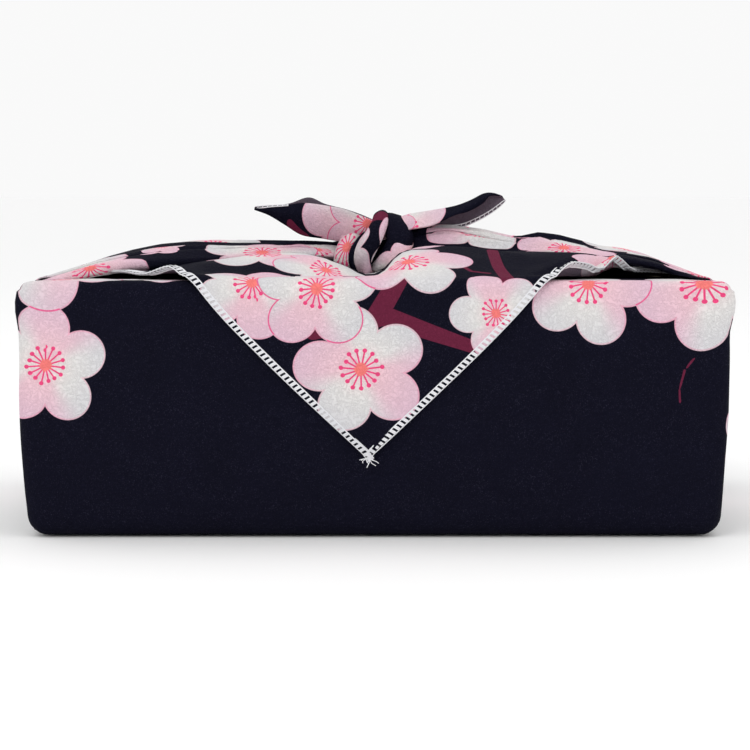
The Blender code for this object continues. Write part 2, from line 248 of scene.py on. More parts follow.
def ear(place, z):
    """How far the cloth stands out sideways at an upper corner, where the gather pulls it up."""
    left, front = place.x < 0, place.y < 0
    height = (0.0030 if left else 0.0041) if front else (0.0026 if left else 0.0018)
    corner = math.exp(-(((abs(place.x) - WALL_X) / 0.010) ** 2))
    corner *= math.exp(-(((abs(place.y) - WALL_Y) / 0.016) ** 2))
    return height * corner * smooth(0.084, 0.100, z)


def sleeve_point(column, row):
    """One point of the sleeve, and its place on the flat cloth."""
    place, out = outward(column)
    kind, at = row
    top = brim(column)
    rim = top - EDGE_RADIUS
    if kind == "under":
        inset, z = at, UNDER_Z
    elif kind == "foot":
        inset = FOOT_RADIUS * (1 - math.sin(at))
        z = UNDER_Z + FOOT_RADIUS * (1 - math.cos(at))
    elif kind == "wall":
        inset, z = 0.0, UNDER_Z + FOOT_RADIUS + (rim - UNDER_Z - FOOT_RADIUS) * at
    elif kind == "brim":
        inset = EDGE_RADIUS * (1 - math.cos(at))
        z = rim + EDGE_RADIUS * math.sin(at)
    else:
        inset, z = at, top
    if kind == "under" and column[0] == "corner":
        inset = min(inset, 0.09)
    slack = 0.0
    if kind in ("wall", "foot"):
        height = z / rim
        slack = 0.0010 * math.sin(math.pi * min(1.0, height)) ** 0.7
        if column[0] != "front" and column[0] != "back":
            share = 1.0 if column[0] == "side" else smooth(0.2, 1.3, column[1])
            slack += share * float(through(BULGE[0], BULGE[1], z)[0])
        slack += 0.0007 * uneven(place.x, place.y, z, 0.055) * math.sin(math.pi * min(1.0, height))
        slack += 0.0004 * uneven(place.x, place.y, z, 0.019, 4.0) * smooth(0.0, 0.3, height)
    if kind == "under":
        half = Vector((max(WALL_X - inset, 0.0), max(WALL_Y - inset, 0.0)))
        place = Vector((place.x * half.x / WALL_X, place.y * half.y / WALL_Y))
        spot = place
    else:
        spot = place + out * (slack - inset)
        spot.x += math.copysign(ear(place, z), spot.x)
    rise = z - inset
    if kind == "brim":
        rise = rim + EDGE_RADIUS * at
    elif kind == "lip":
        rise = rim + EDGE_RADIUS * (math.pi / 2 - 1) + inset
    plane = (spot.x, spot.y) if kind == "under" else flat_place(column, rise, z)
    return (spot.x, spot.y, z), plane


ring = columns_round()
sleeve = [[sleeve_point(column, row) for column in ring + ring[:1]] for row in sleeve_rows()]
add_patch("sleeve", sleeve)

FRONT_FROM = 0
SIDE_R_FROM = FRONT_COLUMNS + CORNER_COLUMNS
BACK_FROM = SIDE_R_FROM + SIDE_COLUMNS + CORNER_COLUMNS
SIDE_L_FROM = BACK_FROM + BACK_COLUMNS + CORNER_COLUMNS
print("columns start at", FRONT_FROM, SIDE_R_FROM, BACK_FROM, SIDE_L_FROM)

# %% [markdown]
# ## The near flap
#
# The near corner goes over the lid and is tucked down behind the box, where it can't be seen. Only
# its front part shows, at both sides of the hanging corner. It grows out of the front wall's own
# columns, so the cloth turns over the edge without a seam.


# %% The near flap
def lid_z(y):
    """How high the near flap lies over the lid: it stands off the box along the front edge."""
    return BOX_TOP + (NEAR_Z - BOX_TOP) * float(smooth(-0.03, 0.085, -y))


def near_rows():
    """(y, z, distance left to the tip) from the front lip over the lid and down behind the box."""
    start = LIP - WALL_Y
    back = WALL_Y - 0.0026
    made = []
    for y in np.linspace(start, back - 0.003, 40)[1:]:
        made.append((y, lid_z(y), REACH - (WALL_Y + NEAR_Z - 0.43 * EDGE_RADIUS) - (y + WALL_Y)))
    edge = made[-1][2]
    for k in range(1, 16):
        drop = edge * k / 15.0
        bend = min(1.0, drop / 0.004)
        made.append((back - 0.003 * (1 - bend), BOX_TOP - drop + 0.001 * bend, edge - drop))
    return made


near = [sleeve[-1][FRONT_FROM : FRONT_FROM + FRONT_COLUMNS + 1]]
for y, z, left in near_rows():
    half = max(0.0008, min(STRAIGHT_X, left))
    row = []
    for share in shares(FRONT_COLUMNS):
        x = half * share
        low = 0.0005 * uneven(x, y, z, 0.03, 2.0) * smooth(-WALL_Y, -WALL_Y + 0.03, y)
        row.append(((x, y, z - abs(low)), (x, left - REACH)))
    near.append(row)
add_patch("near_flap", near)

# %% [markdown]
# ## The gathered bands
#
# Each side corner comes up its side wall, turns over the lid's end edge and is gathered to the knot.
# Cloth pulled together like this makes pleats that run from the wide end to the narrow one. A table
# gives the band's section at each distance from the knot; a second table gives its pleats.

# %% Sections and pleats of the bands
# distance from the middle, front edge, back edge, edge height, crown height
LEFT_BAND = (
    (0.012, -0.0105, 0.011, 0.0105, 0.0140),
    (0.022, -0.0135, 0.013, 0.0120, 0.0144),
    (0.035, -0.0185, 0.018, 0.0126, 0.0144),
    (0.050, -0.0260, 0.026, 0.0122, 0.0142),
    (0.065, -0.0360, 0.036, 0.0114, 0.0143),
    (0.083, -0.0520, 0.047, 0.0108, 0.0144),
    (0.097, -0.0680, 0.058, 0.0106, 0.0136),
    (0.110, -0.0750, 0.072, 0.0100, 0.0116),
    (0.121, -0.0800, 0.082, 0.0086, 0.0092),
    (0.132, -0.0880, 0.091, 0.0056, 0.0058),
    (0.140, -0.0979, 0.0979, 0.0030, 0.0034),
)
RIGHT_BAND = (
    (0.012, -0.0105, 0.011, 0.0135, 0.0190),
    (0.022, -0.0125, 0.013, 0.0158, 0.0222),
    (0.035, -0.0175, 0.018, 0.0160, 0.0220),
    (0.050, -0.0260, 0.026, 0.0152, 0.0196),
    (0.062, -0.0340, 0.034, 0.0148, 0.0166),
    (0.067, -0.0370, 0.037, 0.0148, 0.0164),
    (0.075, -0.0430, 0.043, 0.0150, 0.0182),
    (0.084, -0.0500, 0.048, 0.0148, 0.0172),
    (0.093, -0.0590, 0.057, 0.0140, 0.0152),
    (0.102, -0.0670, 0.064, 0.0124, 0.0132),
    (0.111, -0.0750, 0.073, 0.0112, 0.0128),
    (0.121, -0.0830, 0.082, 0.0094, 0.0110),
    (0.132, -0.0920, 0.091, 0.0062, 0.0068),
    (0.140, -0.0979, 0.0979, 0.0030, 0.0036),
)
# place across from -1 (front) to 1 (back), width, height at the narrow end
PLEATS = (
    (-0.74, 0.10, 1.0),
    (-0.46, 0.09, 0.8),
    (-0.20, 0.11, 1.1),
    (0.10, 0.10, 0.7),
    (0.38, 0.09, 1.0),
    (0.66, 0.11, 0.9),
)


def pleat_height(side, along, share):
    """How far the pleats raise the band there: most near the knot, none at the wall."""
    deep = 0.0030 * smooth(0.142, 0.060, along) * (0.55 + 0.45 * smooth(0.012, 0.035, along))
    total = 0.0
    for k, (centre, width, height) in enumerate(PLEATS):
        drift = 0.05 * math.sin(3.1 * k + 28 * along + side)
        lean = share - centre - drift
        reach = width * (1.5 if lean * side > 0 else 0.6)
        total += height * math.exp(-((lean / reach) ** 2))
    return deep * (total - 0.45)


CURL_FROM = 0.86


def band_section(side, along, share):
    """(y, height over the lid) of the lower band at a distance from the middle and a place across."""
    table = LEFT_BAND if side < 0 else RIGHT_BAND
    front, back = read(table, 1, along), read(table, 2, along)
    edge, crown = read(table, 3, along), read(table, 4, along)

    def open_at(s):
        y = front + (back - front) * (s + 1) / 2
        z = edge + (crown - edge) * (1 - abs(s) ** 2.4) + pleat_height(side, along, s)
        return y, z

    y, z = open_at(share)
    if abs(share) > CURL_FROM:
        curl = smooth(0.140, 0.126, along)
        start_y, start_z = open_at(math.copysign(CURL_FROM, share))
        turn = math.pi * 1.15 * (abs(share) - CURL_FROM) / (1 - CURL_FROM)
        radius = 0.0014 + 0.0010 * smooth(0.06, 0.095, along) if side < 0 else 0.0012
        curl_y = start_y + math.copysign(radius * math.sin(turn) * 1.3, share)
        curl_z = start_z - radius * (1 - math.cos(turn))
        y = y + (curl_y - y) * curl
        z = z + (curl_z - z) * curl
    return y, z


# %% The lower layer of each band
BAND_PATH = list(np.linspace(0.1385, 0.094, 18)) + list(np.linspace(0.0915, 0.012, 34))
SLACK = 1.12
LOWER_LAYER = (0.100, 0.30)
UPPER_LAYER = (0.075, 0.25)


def on_band(side, along, share, layer):
    """A band's place on the flat cloth. A layer is its half width at the wall, and how it narrows."""
    gone = WALL_X - along
    return side * (WALL_X + LID + gone * SLACK), share * (layer[0] - layer[1] * gone)


def lower_band(side):
    """Grows out of the side wall's columns, and runs to the knot."""
    start = SIDE_R_FROM if side > 0 else SIDE_L_FROM
    across = [side * share for share in shares(SIDE_COLUMNS)]
    edge = sleeve[-1][start : start + SIDE_COLUMNS + 1]
    rows = [[(point, on_band(side, WALL_X, s, LOWER_LAYER)) for (point, _), s in zip(edge, across)]]
    for along in BAND_PATH:
        row = []
        for share in across:
            y, height = band_section(side, along, share)
            place = on_band(side, along, share, LOWER_LAYER)
            row.append(((side * along, y, LID + height), place))
        rows.append(row)
    add_patch("band_right" if side > 0 else "band_left", rows)


lower_band(1)
lower_band(-1)

# %% [markdown]
# ## The side panels and the upper layer of the bands
#
# On each side wall the cloth's corner lies over the folded-in gussets, so a panel with two slanting
# folds stands a little proud of the wall. Over the lid the same layer lies on the lower band and is
# pulled into the knot with it.

# %% Panels
# distance from the middle over the lid, half width, rise over the lower band
PANEL_TOP_LAYER = (
    (0.012, 0.0062, 0.0010),
    (0.035, 0.0090, 0.0011),
    (0.065, 0.0190, 0.0011),
    (0.095, 0.0370, 0.0011),
    (0.121, 0.0560, 0.0011),
    (0.1385, 0.0700, 0.0011),
)
PANEL_COLUMNS = 44
PANEL_FOOT = 0.0105
PANEL_RIM = 0.0725
PROUD = 0.0012


def panel(side):
    """The upper layer: up the side wall, over the lid's end edge and along the lower band."""
    table = LEFT_BAND if side < 0 else RIGHT_BAND
    across = shares(PANEL_COLUMNS)
    rim = SIDE_Z - EDGE_RADIUS
    rows = []
    for z in np.linspace(PANEL_FOOT, rim, 24):
        half = panel_half(z)
        row = []
        for share in across:
            y = half * share
            tucked = 1 - smooth(0.93, 1.0, abs(share))
            slack = 0.0010 * math.sin(math.pi * z / rim) ** 0.7
            slack += 0.0007 * uneven(side * WALL_X, y, z, 0.045, 1.0)
            fold = 0.0006 * bump(abs(y), half - 0.010, 0.006)
            proud = (0.0013 + fold) * tucked * smooth(PANEL_FOOT, 0.024, z)
            row.append(((side * (WALL_X + slack + 0.0003 + proud), y, z), (side * (WALL_X + z), y)))
        rows.append(row)
    for k in range(1, 7):
        turn = math.pi / 2 * k / 6
        x = WALL_X - EDGE_RADIUS + (EDGE_RADIUS + PROUD) * math.cos(turn)
        z = rim + (EDGE_RADIUS + PROUD) * math.sin(turn)
        p = side * (WALL_X + rim + EDGE_RADIUS * turn)
        rows.append([((side * x, PANEL_RIM * s, z), (p, PANEL_RIM * s)) for s in across])
    for along in BAND_PATH:
        half, rise = read(PANEL_TOP_LAYER, 1, along), read(PANEL_TOP_LAYER, 2, along)
        front, back = read(table, 1, along), read(table, 2, along)
        row = []
        for share in across:
            y = (front + back) / 2 + half * share
            under = 2 * (y - front) / (back - front) - 1
            _, height = band_section(side, along, max(-CURL_FROM, min(CURL_FROM, under)))
            tucked = 1 - smooth(0.90, 1.0, abs(share))
            wave = 0.0007 * math.sin(9 * share + 40 * along + side) * smooth(0.135, 0.08, along)
            height += rise * (0.25 + 0.75 * tucked) + wave * tucked + 0.0002
            place = on_band(side, along, share, UPPER_LAYER)
            row.append(((side * along, y, LID + height), place))
        rows.append(row)
    add_patch("panel_right" if side > 0 else "panel_left", rows)


panel(1)
panel(-1)

# %% [markdown]
# ## The far flap
#
# The far corner comes up the back wall and over the lid. It rises towards the bands, dips to the foot
# of the knot, and turns down over the front edge, where it hangs as a triangle. A small relief map
# holds its form over the lid: a height for each of a few places, read smoothly between them. Its two
# free edges stand up in waves at the shoulders, because the bands pull at them.

# %% The form over the lid
# heights in mm above 0.1 m: a column for each x, a row for each y, in mm
LID_X = (-139, -112, -90, -74, -57, -40, -24, -12, -4, 3, 10, 24, 40, 56, 75, 94, 112, 139)
LID_FORM = (
    (-103, 8.8, 11, 12, 10.4, 8.8, 8.6, 8.6, 8.6, 8.6, 8.7, 9, 9.4, 9.2, 9.4, 10.4, 12, 12.2, 11),
    (-98, 8.6, 10.8, 12.2, 10.4, 9.2, 9, 9, 9, 9, 9.3, 10.6, 11.4, 10.8, 10.4, 11.2, 12.6, 12.2, 10.8),
    (-92, 8.4, 10.7, 11.2, 10.4, 9.4, 9.2, 9.2, 9.2, 9.2, 9.8, 12.4, 13.6, 12.6, 11.8, 12.4, 13.2, 12.4, 10.6),
    (-85, 8, 10.6, 10.8, 11.2, 10.8, 9.6, 8.5, 8.5, 8.6, 9.9, 14.4, 16, 14.6, 13.4, 14, 14.4, 13.2, 10.4),
    (-78, 7.6, 10.2, 11, 12.6, 13, 12.4, 8.6, 8.3, 8.4, 9.9, 15.8, 17.8, 16.4, 15.2, 15.6, 15.6, 14.4, 10.2),
    (-70, 7.4, 9.8, 11.2, 14, 15, 15.6, 11.8, 8.9, 8.2, 9.9, 16.6, 19, 17.8, 16.8, 17, 16.6, 14.8, 9.8),
    (-62, 7.2, 9.4, 11.6, 14.5, 15.8, 16.8, 15.4, 10.6, 8, 9.8, 17, 19.6, 18.8, 17.8, 18, 17.6, 14.2, 9.2),
    (-50, 7, 9.2, 11.8, 14.4, 15.8, 16.8, 15.9, 11.6, 7.8, 9.6, 17, 19.8, 19.4, 18.4, 18.2, 17.8, 13.6, 8.8),
    (-35, 6.8, 9, 11.8, 14.1, 15.4, 16, 14.8, 10.8, 7.8, 9.4, 16.4, 19.4, 19.4, 18.4, 18, 17.4, 13, 8.4),
    (-20, 6.8, 8.8, 11.6, 13.6, 15, 15.4, 13.6, 10.2, 7.8, 9.2, 14.6, 19, 19.2, 18.2, 17.8, 16.8, 12.6, 8.2),
    (0, 6.8, 8.6, 11, 13, 14.4, 15, 13.4, 10.6, 8.4, 9, 12.4, 17.4, 18.4, 17.6, 17.2, 15.6, 12, 8),
    (30, 6.6, 8, 10, 12, 13.2, 14, 13.4, 11.6, 9.6, 9.8, 12, 15.6, 16.8, 16.4, 15.8, 14.2, 11.4, 7.6),
    (70, 6, 6.6, 7.4, 8.4, 9, 9.2, 9, 8.6, 8.2, 8.4, 9, 10.6, 11.4, 11, 10.4, 9.4, 8, 6.4),
    (90, 5.8, 5.8, 5.9, 6, 6.2, 6.3, 6.3, 6.2, 6.2, 6.2, 6.3, 6.4, 6.5, 6.4, 6.3, 6.1, 6, 5.8),
    (99, 5.7, 5.7, 5.7, 5.7, 5.7, 5.7, 5.7, 5.7, 5.7, 5.7, 5.7, 5.7, 5.7, 5.7, 5.7, 5.7, 5.7, 5.7),
)
# from x, y to x, y: a shallow fold, its half width and height
FOLDS = (
    (-0.014, -0.022, -0.074, -0.078, 0.0055, 0.0010),
    (0.014, -0.020, 0.066, -0.074, 0.0065, 0.0012),
    (0.012, 0.020, 0.070, 0.078, 0.0080, 0.0016),
    (-0.012, 0.020, -0.072, 0.080, 0.0080, 0.0014),
)
fine_x = np.linspace(-0.139, 0.139, 279)
fine_y = np.linspace(-0.103, 0.099, 203)
rows_read = np.array([through([x / 1000 for x in LID_X], row[1:], fine_x) for row in LID_FORM])
ROW_Y = [row[0] / 1000 for row in LID_FORM]
relief = np.array([through(ROW_Y, column, fine_y) for column in rows_read.T])
print(f"the flap's relief runs from {relief.min():.1f} to {relief.max():.1f} mm over 0.1 m")


def lid_form(x, y):
    """The far flap's height at a place over the lid."""
    i = np.clip((x + 0.139) / 0.001, 0, 277.999)
    j = np.clip((y + 0.103) / 0.001, 0, 201.999)
    a, b, s, t = int(i), int(j), i % 1, j % 1
    near = relief[a, b] * (1 - s) + relief[a + 1, b] * s
    far = relief[a, b + 1] * (1 - s) + relief[a + 1, b + 1] * s
    height = 0.1 + (near * (1 - t) + far * t) / 1000
    for x0, y0, x1, y1, width, rise in FOLDS:
        dx, dy = x1 - x0, y1 - y0
        share = ((x - x0) * dx + (y - y0) * dy) / (dx * dx + dy * dy)
        off = abs((x - x0) * dy - (y - y0) * dx) / math.hypot(dx, dy)
        ends = smooth(-0.15, 0.15, share) * (1 - smooth(0.75, 1.15, share))
        height += rise * ends * math.exp(-((off / width) ** 2))
    calm = smooth(-0.099, -0.085, y) * (1 - smooth(0.075, 0.095, y))
    return height + 0.0005 * uneven(x, y, 0.0, 0.028, 7.0) * calm


# %% The waves of its free edges
# y and the height of the free edge, in mm above 0.1 m
RIGHT_EDGE = (
    (-103.0, 9.8), (-99.0, 13.4), (-94.7, 15.3), (-90.0, 15.0), (-86.3, 14.2),
    (-81.0, 12.2), (-78.5, 14.0), (-75.0, 17.6), (-71.5, 15.2), (-68.0, 11.8),
    (-60.0, 10.6), (-40.0, 9.0),
)
LEFT_EDGE = (
    (-103.0, 10.6), (-100.5, 12.4), (-97.3, 13.8), (-93.3, 12.9), (-86.2, 10.4),
    (-74.0, 10.9), (-60.0, 10.2), (-40.0, 8.8),
)


def edge_form(side, y):
    table = RIGHT_EDGE if side > 0 else LEFT_EDGE
    places, heights = [row[0] / 1000 for row in table], [row[1] for row in table]
    return 0.1 + float(through(places, heights, max(-0.103, min(y, -0.040)))[0]) / 1000


# %% The far flap
FLAP_FRONT = WALL_Y + 0.0028
TURN_RADIUS = 0.0048
TURN_Z = 0.1086
TIP_OFF = -0.0025


def far_rows():
    """(y, turn over the edge, drop below it, distance left to the tip) from the back lip to the tip."""
    start, end = WALL_Y - LIP, TURN_RADIUS - FLAP_FRONT
    before = REACH - (WALL_Y + FAR_Z + 0.0043)
    made = []
    for share in np.linspace(0, 1, 72)[1:]:
        made.append((start + (end - start) * share, 0.0, 0.0, before + (HANG - before) * share))
    for k in range(1, 8):
        turn = math.pi / 2 * k / 7
        made.append((end - TURN_RADIUS * math.sin(turn), turn, 0.0, HANG - TURN_RADIUS * turn))
    left = made[-1][3]
    for k in range(1, 33):
        made.append((-FLAP_FRONT, math.pi / 2, left * k / 32, left * (1 - k / 32)))
    return made


def far_height(x, y, edge_share, half):
    """Height over the lid, with the wave of the free edge where the flap is narrower than the box."""
    height = lid_form(x, y)
    if half < STRAIGHT_X - 0.0005:
        wave = smooth(0.0, 0.004, STRAIGHT_X - half)
        wave *= smooth(half - 0.013, half - 0.0015, abs(edge_share) * half)
        height += (edge_form(edge_share, y) - height) * float(wave)
        if edge_share > 0:
            behind = bump(half - edge_share * half, 0.0088, 0.0036)
            behind *= smooth(-0.104, -0.098, y) * (1 - smooth(-0.074, -0.066, y))
            height += (lid_z(y) + 0.0016 - height) * float(behind)
    return height


far = [sleeve[-1][BACK_FROM : BACK_FROM + BACK_COLUMNS + 1]]
for y, turn, drop, left in far_rows():
    half = max(0.0006, min(STRAIGHT_X, left))
    off = TIP_OFF * (1 - smooth(0.09, 0.139, left))
    full = 0.0022 * math.sin(math.pi * min(1.0, left / 0.09))
    hung = drop / HANG
    row = []
    for share in shares(BACK_COLUMNS)[::-1]:
        x = half * share + off + full * share
        z = far_height(x, max(y, -0.103), share, half)
        lift = z - TURN_Z if turn > 0 else 0.0
        z -= TURN_RADIUS * (1 - math.cos(turn)) + drop
        z -= lift * (1 - max(0.0, 1 - drop / 0.016) ** 2)
        swing = 0.0009 * hung + 0.0006 * uneven(x, y, z, 0.03, 9.0) * smooth(0.0, 0.4, hung)
        ripple = math.sin(150 * z + 2 * math.copysign(1, x))
        swing += 0.0007 * smooth(0.80, 1.0, abs(share)) * ripple * smooth(0, 0.3, hung)
        row.append(((x, y - max(0.0, swing), z), (half * share, REACH - left)))
    far.append(row)
add_patch("far_flap", far)

# %% [markdown]
# ## The knot
#
# In a square knot each end goes round the other, so from the front there are rolls of gathered cloth
# that cross. Each roll is a flattened tube round a curved path, with shallow pleats along it.


# %% Rolls of cloth
def along_path(table, count):
    """Points of a smooth curve through the rows of a table: x, y, z, half width, half thickness."""
    knots = np.array(table, float)
    steps = np.linspace(0, len(knots) - 1, count)
    made = []
    for s in steps:
        i = int(min(s, len(knots) - 1.0001))
        t = s - i
        p0, p1 = knots[max(i - 1, 0)], knots[i]
        p2, p3 = knots[i + 1], knots[min(i + 2, len(knots) - 1)]
        value = 0.5 * (
            2 * p1
            + (p2 - p0) * t
            + (2 * p0 - 5 * p1 + 4 * p2 - p3) * t * t
            + (3 * p1 - p0 - 3 * p2 + p3) * t**3
        )
        made.append(value)
    return np.array(made)


ALONG_ROLL, ROUND_ROLL = 40, 26
CREASES, CREASE_DEPTH = 4, 0.05
PRINT_ROUND = 0.0055


def roll(name, table, face, print_at):
    """A flattened, pleated tube. face is the way its broad side looks; print_at its flat place."""
    line = along_path(table, ALONG_ROLL)
    gone = run_along(line[:, :3])
    rows = []
    for i in range(ALONG_ROLL):
        ahead = line[min(i + 1, ALONG_ROLL - 1), :3] - line[max(i - 1, 0), :3]
        ahead = Vector(ahead).normalized()
        facing = Vector(face) - ahead * ahead.dot(Vector(face))
        facing.normalize()
        across = ahead.cross(facing)
        centre, wide, thick = Vector(line[i, :3]), line[i, 3], line[i, 4]
        row = []
        for k in range(ROUND_ROLL + 1):
            turn = 2 * math.pi * k / ROUND_ROLL - math.pi / 2
            pleat = 1 + CREASE_DEPTH * math.cos(CREASES * turn + 1.7 * math.sin(gone[i] * 160))
            side_x = wide * math.cos(turn) * pleat
            side_y = thick * math.sin(turn) * pleat
            spot = centre + across * side_x + facing * side_y
            place = (print_at[0] + gone[i], print_at[1] + PRINT_ROUND * (turn - math.pi / 2))
            row.append((tuple(spot), place))
        rows.append(row)
    add_patch(name, rows, None)


# %% The knot's rolls
# the way it faces, then rows of x, y, z, half width, half thickness
ROLLS = {
    "knot_heart": (
        (0.0, -0.3, 1.0),
        (-0.030, 0.001, 0.1163, 0.0070, 0.0034),
        (-0.017, 0.001, 0.1165, 0.0080, 0.0056),
        (-0.002, 0.002, 0.1190, 0.0084, 0.0084),
        (0.012, 0.002, 0.1210, 0.0086, 0.0078),
        (0.032, 0.001, 0.1230, 0.0072, 0.0050),
    ),
    "knot_left": (
        (-0.25, -1.0, 0.35),
        (-0.0040, 0.0110, 0.1130, 0.0046, 0.0028),
        (-0.0070, 0.0125, 0.1210, 0.0048, 0.0030),
        (-0.0085, 0.0040, 0.1258, 0.0046, 0.0030),
        (-0.0098, -0.0060, 0.1250, 0.0044, 0.0030),
        (-0.0116, -0.0125, 0.1212, 0.0044, 0.0032),
        (-0.0136, -0.0162, 0.1155, 0.0045, 0.0034),
        (-0.0134, -0.0150, 0.1108, 0.0044, 0.0032),
        (-0.0090, -0.0090, 0.1082, 0.0040, 0.0026),
    ),
    "knot_strand": (
        (-0.3, -1.0, 0.3),
        (-0.0030, -0.0080, 0.1262, 0.0014, 0.0014),
        (-0.0062, -0.0160, 0.1232, 0.0015, 0.0014),
        (-0.0094, -0.0192, 0.1186, 0.0014, 0.0013),
        (-0.0100, -0.0198, 0.1135, 0.0013, 0.0012),
        (-0.0074, -0.0180, 0.1090, 0.0013, 0.0012),
        (-0.0030, -0.0120, 0.1078, 0.0014, 0.0014),
    ),
    "knot_middle": (
        (-0.2, -1.0, 0.3),
        (-0.0020, -0.0080, 0.1084, 0.0034, 0.0028),
        (-0.0052, -0.0160, 0.1098, 0.0042, 0.0032),
        (-0.0056, -0.0195, 0.1146, 0.0042, 0.0034),
        (-0.0036, -0.0195, 0.1196, 0.0044, 0.0034),
        (-0.0004, -0.0170, 0.1248, 0.0042, 0.0032),
        (0.0022, -0.0115, 0.1302, 0.0036, 0.0028),
        (0.0030, -0.0050, 0.1340, 0.0030, 0.0022),
        (0.0040, 0.0020, 0.1338, 0.0026, 0.0020),
    ),
    "knot_right": (
        (0.35, -1.0, 0.4),
        (0.0060, 0.0050, 0.1300, 0.0046, 0.0034),
        (0.0082, -0.0030, 0.1312, 0.0056, 0.0038),
        (0.0110, -0.0100, 0.1272, 0.0060, 0.0042),
        (0.0112, -0.0140, 0.1212, 0.0058, 0.0042),
        (0.0072, -0.0145, 0.1156, 0.0048, 0.0036),
        (0.0020, -0.0120, 0.1112, 0.0036, 0.0028),
        (-0.0010, -0.0060, 0.1086, 0.0030, 0.0022),
    ),
    "knot_tuck": (
        (0.1, -1.0, 0.7),
        (0.0150, -0.0090, 0.1222, 0.0030, 0.0020),
        (0.0120, -0.0165, 0.1196, 0.0037, 0.0024),
        (0.0078, -0.0190, 0.1166, 0.0038, 0.0026),
        (0.0038, -0.0180, 0.1136, 0.0030, 0.0024),
        (0.0004, -0.0130, 0.1106, 0.0020, 0.0018),
    ),
    "knot_back": (
        (0.1, 1.0, 0.4),
        (0.004, -0.002, 0.1285, 0.0056, 0.0034),
        (0.006, 0.0090, 0.1280, 0.0068, 0.0040),
        (0.005, 0.0145, 0.1195, 0.0072, 0.0042),
        (0.003, 0.0115, 0.1105, 0.0064, 0.0036),
        (0.000, 0.0030, 0.1075, 0.0048, 0.0028),
    ),
}
PRINT_PLACE, PRINT_STEP = 0.600, 0.100
for k, (name, (face, *table)) in enumerate(ROLLS.items()):
    roll(name, table, face, (PRINT_PLACE, PRINT_STEP * k))

# %% [markdown]
# ## The two free ends
#
# What is left of each side corner sticks out of the knot as a folded leaf. The left one is folded along
# its lower side, the right one along its upper side, so its back layer shows its wrong side below the
# front layer. Each leaf is a row of sections: front edge, fold, back edge.

# %% Free ends
# for each section: x, y, z of the front edge, of the fold and of the back edge
LEFT_END = (
    ((0.0020, -0.0100, 0.1310), (0.0020, -0.0060, 0.1225), (0.0020, 0.0000, 0.1310)),
    ((-0.0060, -0.0120, 0.1342), (-0.0064, -0.0076, 0.1222), (-0.0060, 0.0010, 0.1345)),
    ((-0.0140, -0.0128, 0.1372), (-0.0148, -0.0086, 0.1226), (-0.0140, 0.0012, 0.1372)),
    ((-0.0225, -0.0126, 0.1388), (-0.0240, -0.0088, 0.1240), (-0.0225, 0.0008, 0.1394)),
    ((-0.0315, -0.0118, 0.1398), (-0.0332, -0.0088, 0.1256), (-0.0300, -0.0006, 0.1424)),
    ((-0.0400, -0.0108, 0.1390), (-0.0408, -0.0086, 0.1302), (-0.0385, -0.0034, 0.1398)),
    ((-0.0480, -0.0098, 0.1386), (-0.0482, -0.0086, 0.1346), (-0.0475, -0.0064, 0.1384)),
    ((-0.0545, -0.0090, 0.1382), (-0.0547, -0.0086, 0.1370), (-0.0545, -0.0080, 0.1380)),
)
RIGHT_END = (
    ((0.0040, -0.0110, 0.1230), (0.0050, -0.0050, 0.1300), (0.0040, 0.0010, 0.1220)),
    ((0.0150, -0.0126, 0.1276), (0.0142, -0.0058, 0.1342), (0.0160, 0.0004, 0.1262)),
    ((0.0257, -0.0130, 0.1296), (0.0252, -0.0062, 0.1362), (0.0280, -0.0010, 0.1280)),
    ((0.0362, -0.0126, 0.1342), (0.0362, -0.0064, 0.1382), (0.0394, -0.0022, 0.1290)),
    ((0.0430, -0.0114, 0.1362), (0.0436, -0.0064, 0.1408), (0.0465, -0.0030, 0.1316)),
    ((0.0495, -0.0098, 0.1398), (0.0500, -0.0062, 0.1440), (0.0530, -0.0034, 0.1352)),
    ((0.0525, -0.0076, 0.1432), (0.0545, -0.0058, 0.1442), (0.0575, -0.0038, 0.1386)),
    ((0.0575, -0.0058, 0.1434), (0.0585, -0.0052, 0.1428), (0.0600, -0.0040, 0.1412)),
)


END_ROWS, END_COLUMNS = 44, 36


def free_end(name, sections, print_at, belly):
    """Rows of a folded leaf: from the front edge to the fold and on to the back edge."""
    lines = [along_path([section[j] for section in sections], END_ROWS) for j in range(3)]
    gone = run_along(lines[1])
    rows = []
    for i in range(len(gone)):
        front, fold, back = (line[i] for line in lines)
        row = []
        for turn in shares(END_COLUMNS):
            up = abs(turn)
            ease = math.sqrt(up * up + 0.006) - math.sqrt(0.006) * (1 - up)
            rim = front if turn < 0 else back
            wide = np.linalg.norm(rim - fold)
            spot = fold + (rim - fold) * ease / 1.003
            spot[1] += math.copysign(1, turn) * belly * math.sin(math.pi * min(1.0, up)) * wide
            spot[1] += 0.0006 * math.sin(6 * up + 130 * gone[i] + (2 if turn < 0 else 0)) * up
            row.append((tuple(spot), (print_at[0] + gone[i], print_at[1] + turn * wide)))
        rows.append(row)
    add_patch(name, rows, None)


free_end("end_left", LEFT_END, (PRINT_PLACE, PRINT_STEP * 7), 0.16)
free_end("end_right", RIGHT_END, (PRINT_PLACE, PRINT_STEP * 8), 0.14)

# %% [markdown]
# ## One cloth from all the grids
#
# The grids become one mesh. Where a flap or band grows out of the sleeve, the shared points are merged,
# so the surface runs on. The flat place of each corner goes into a UV map in metres, and Solidify
# gives the sheet its thickness.


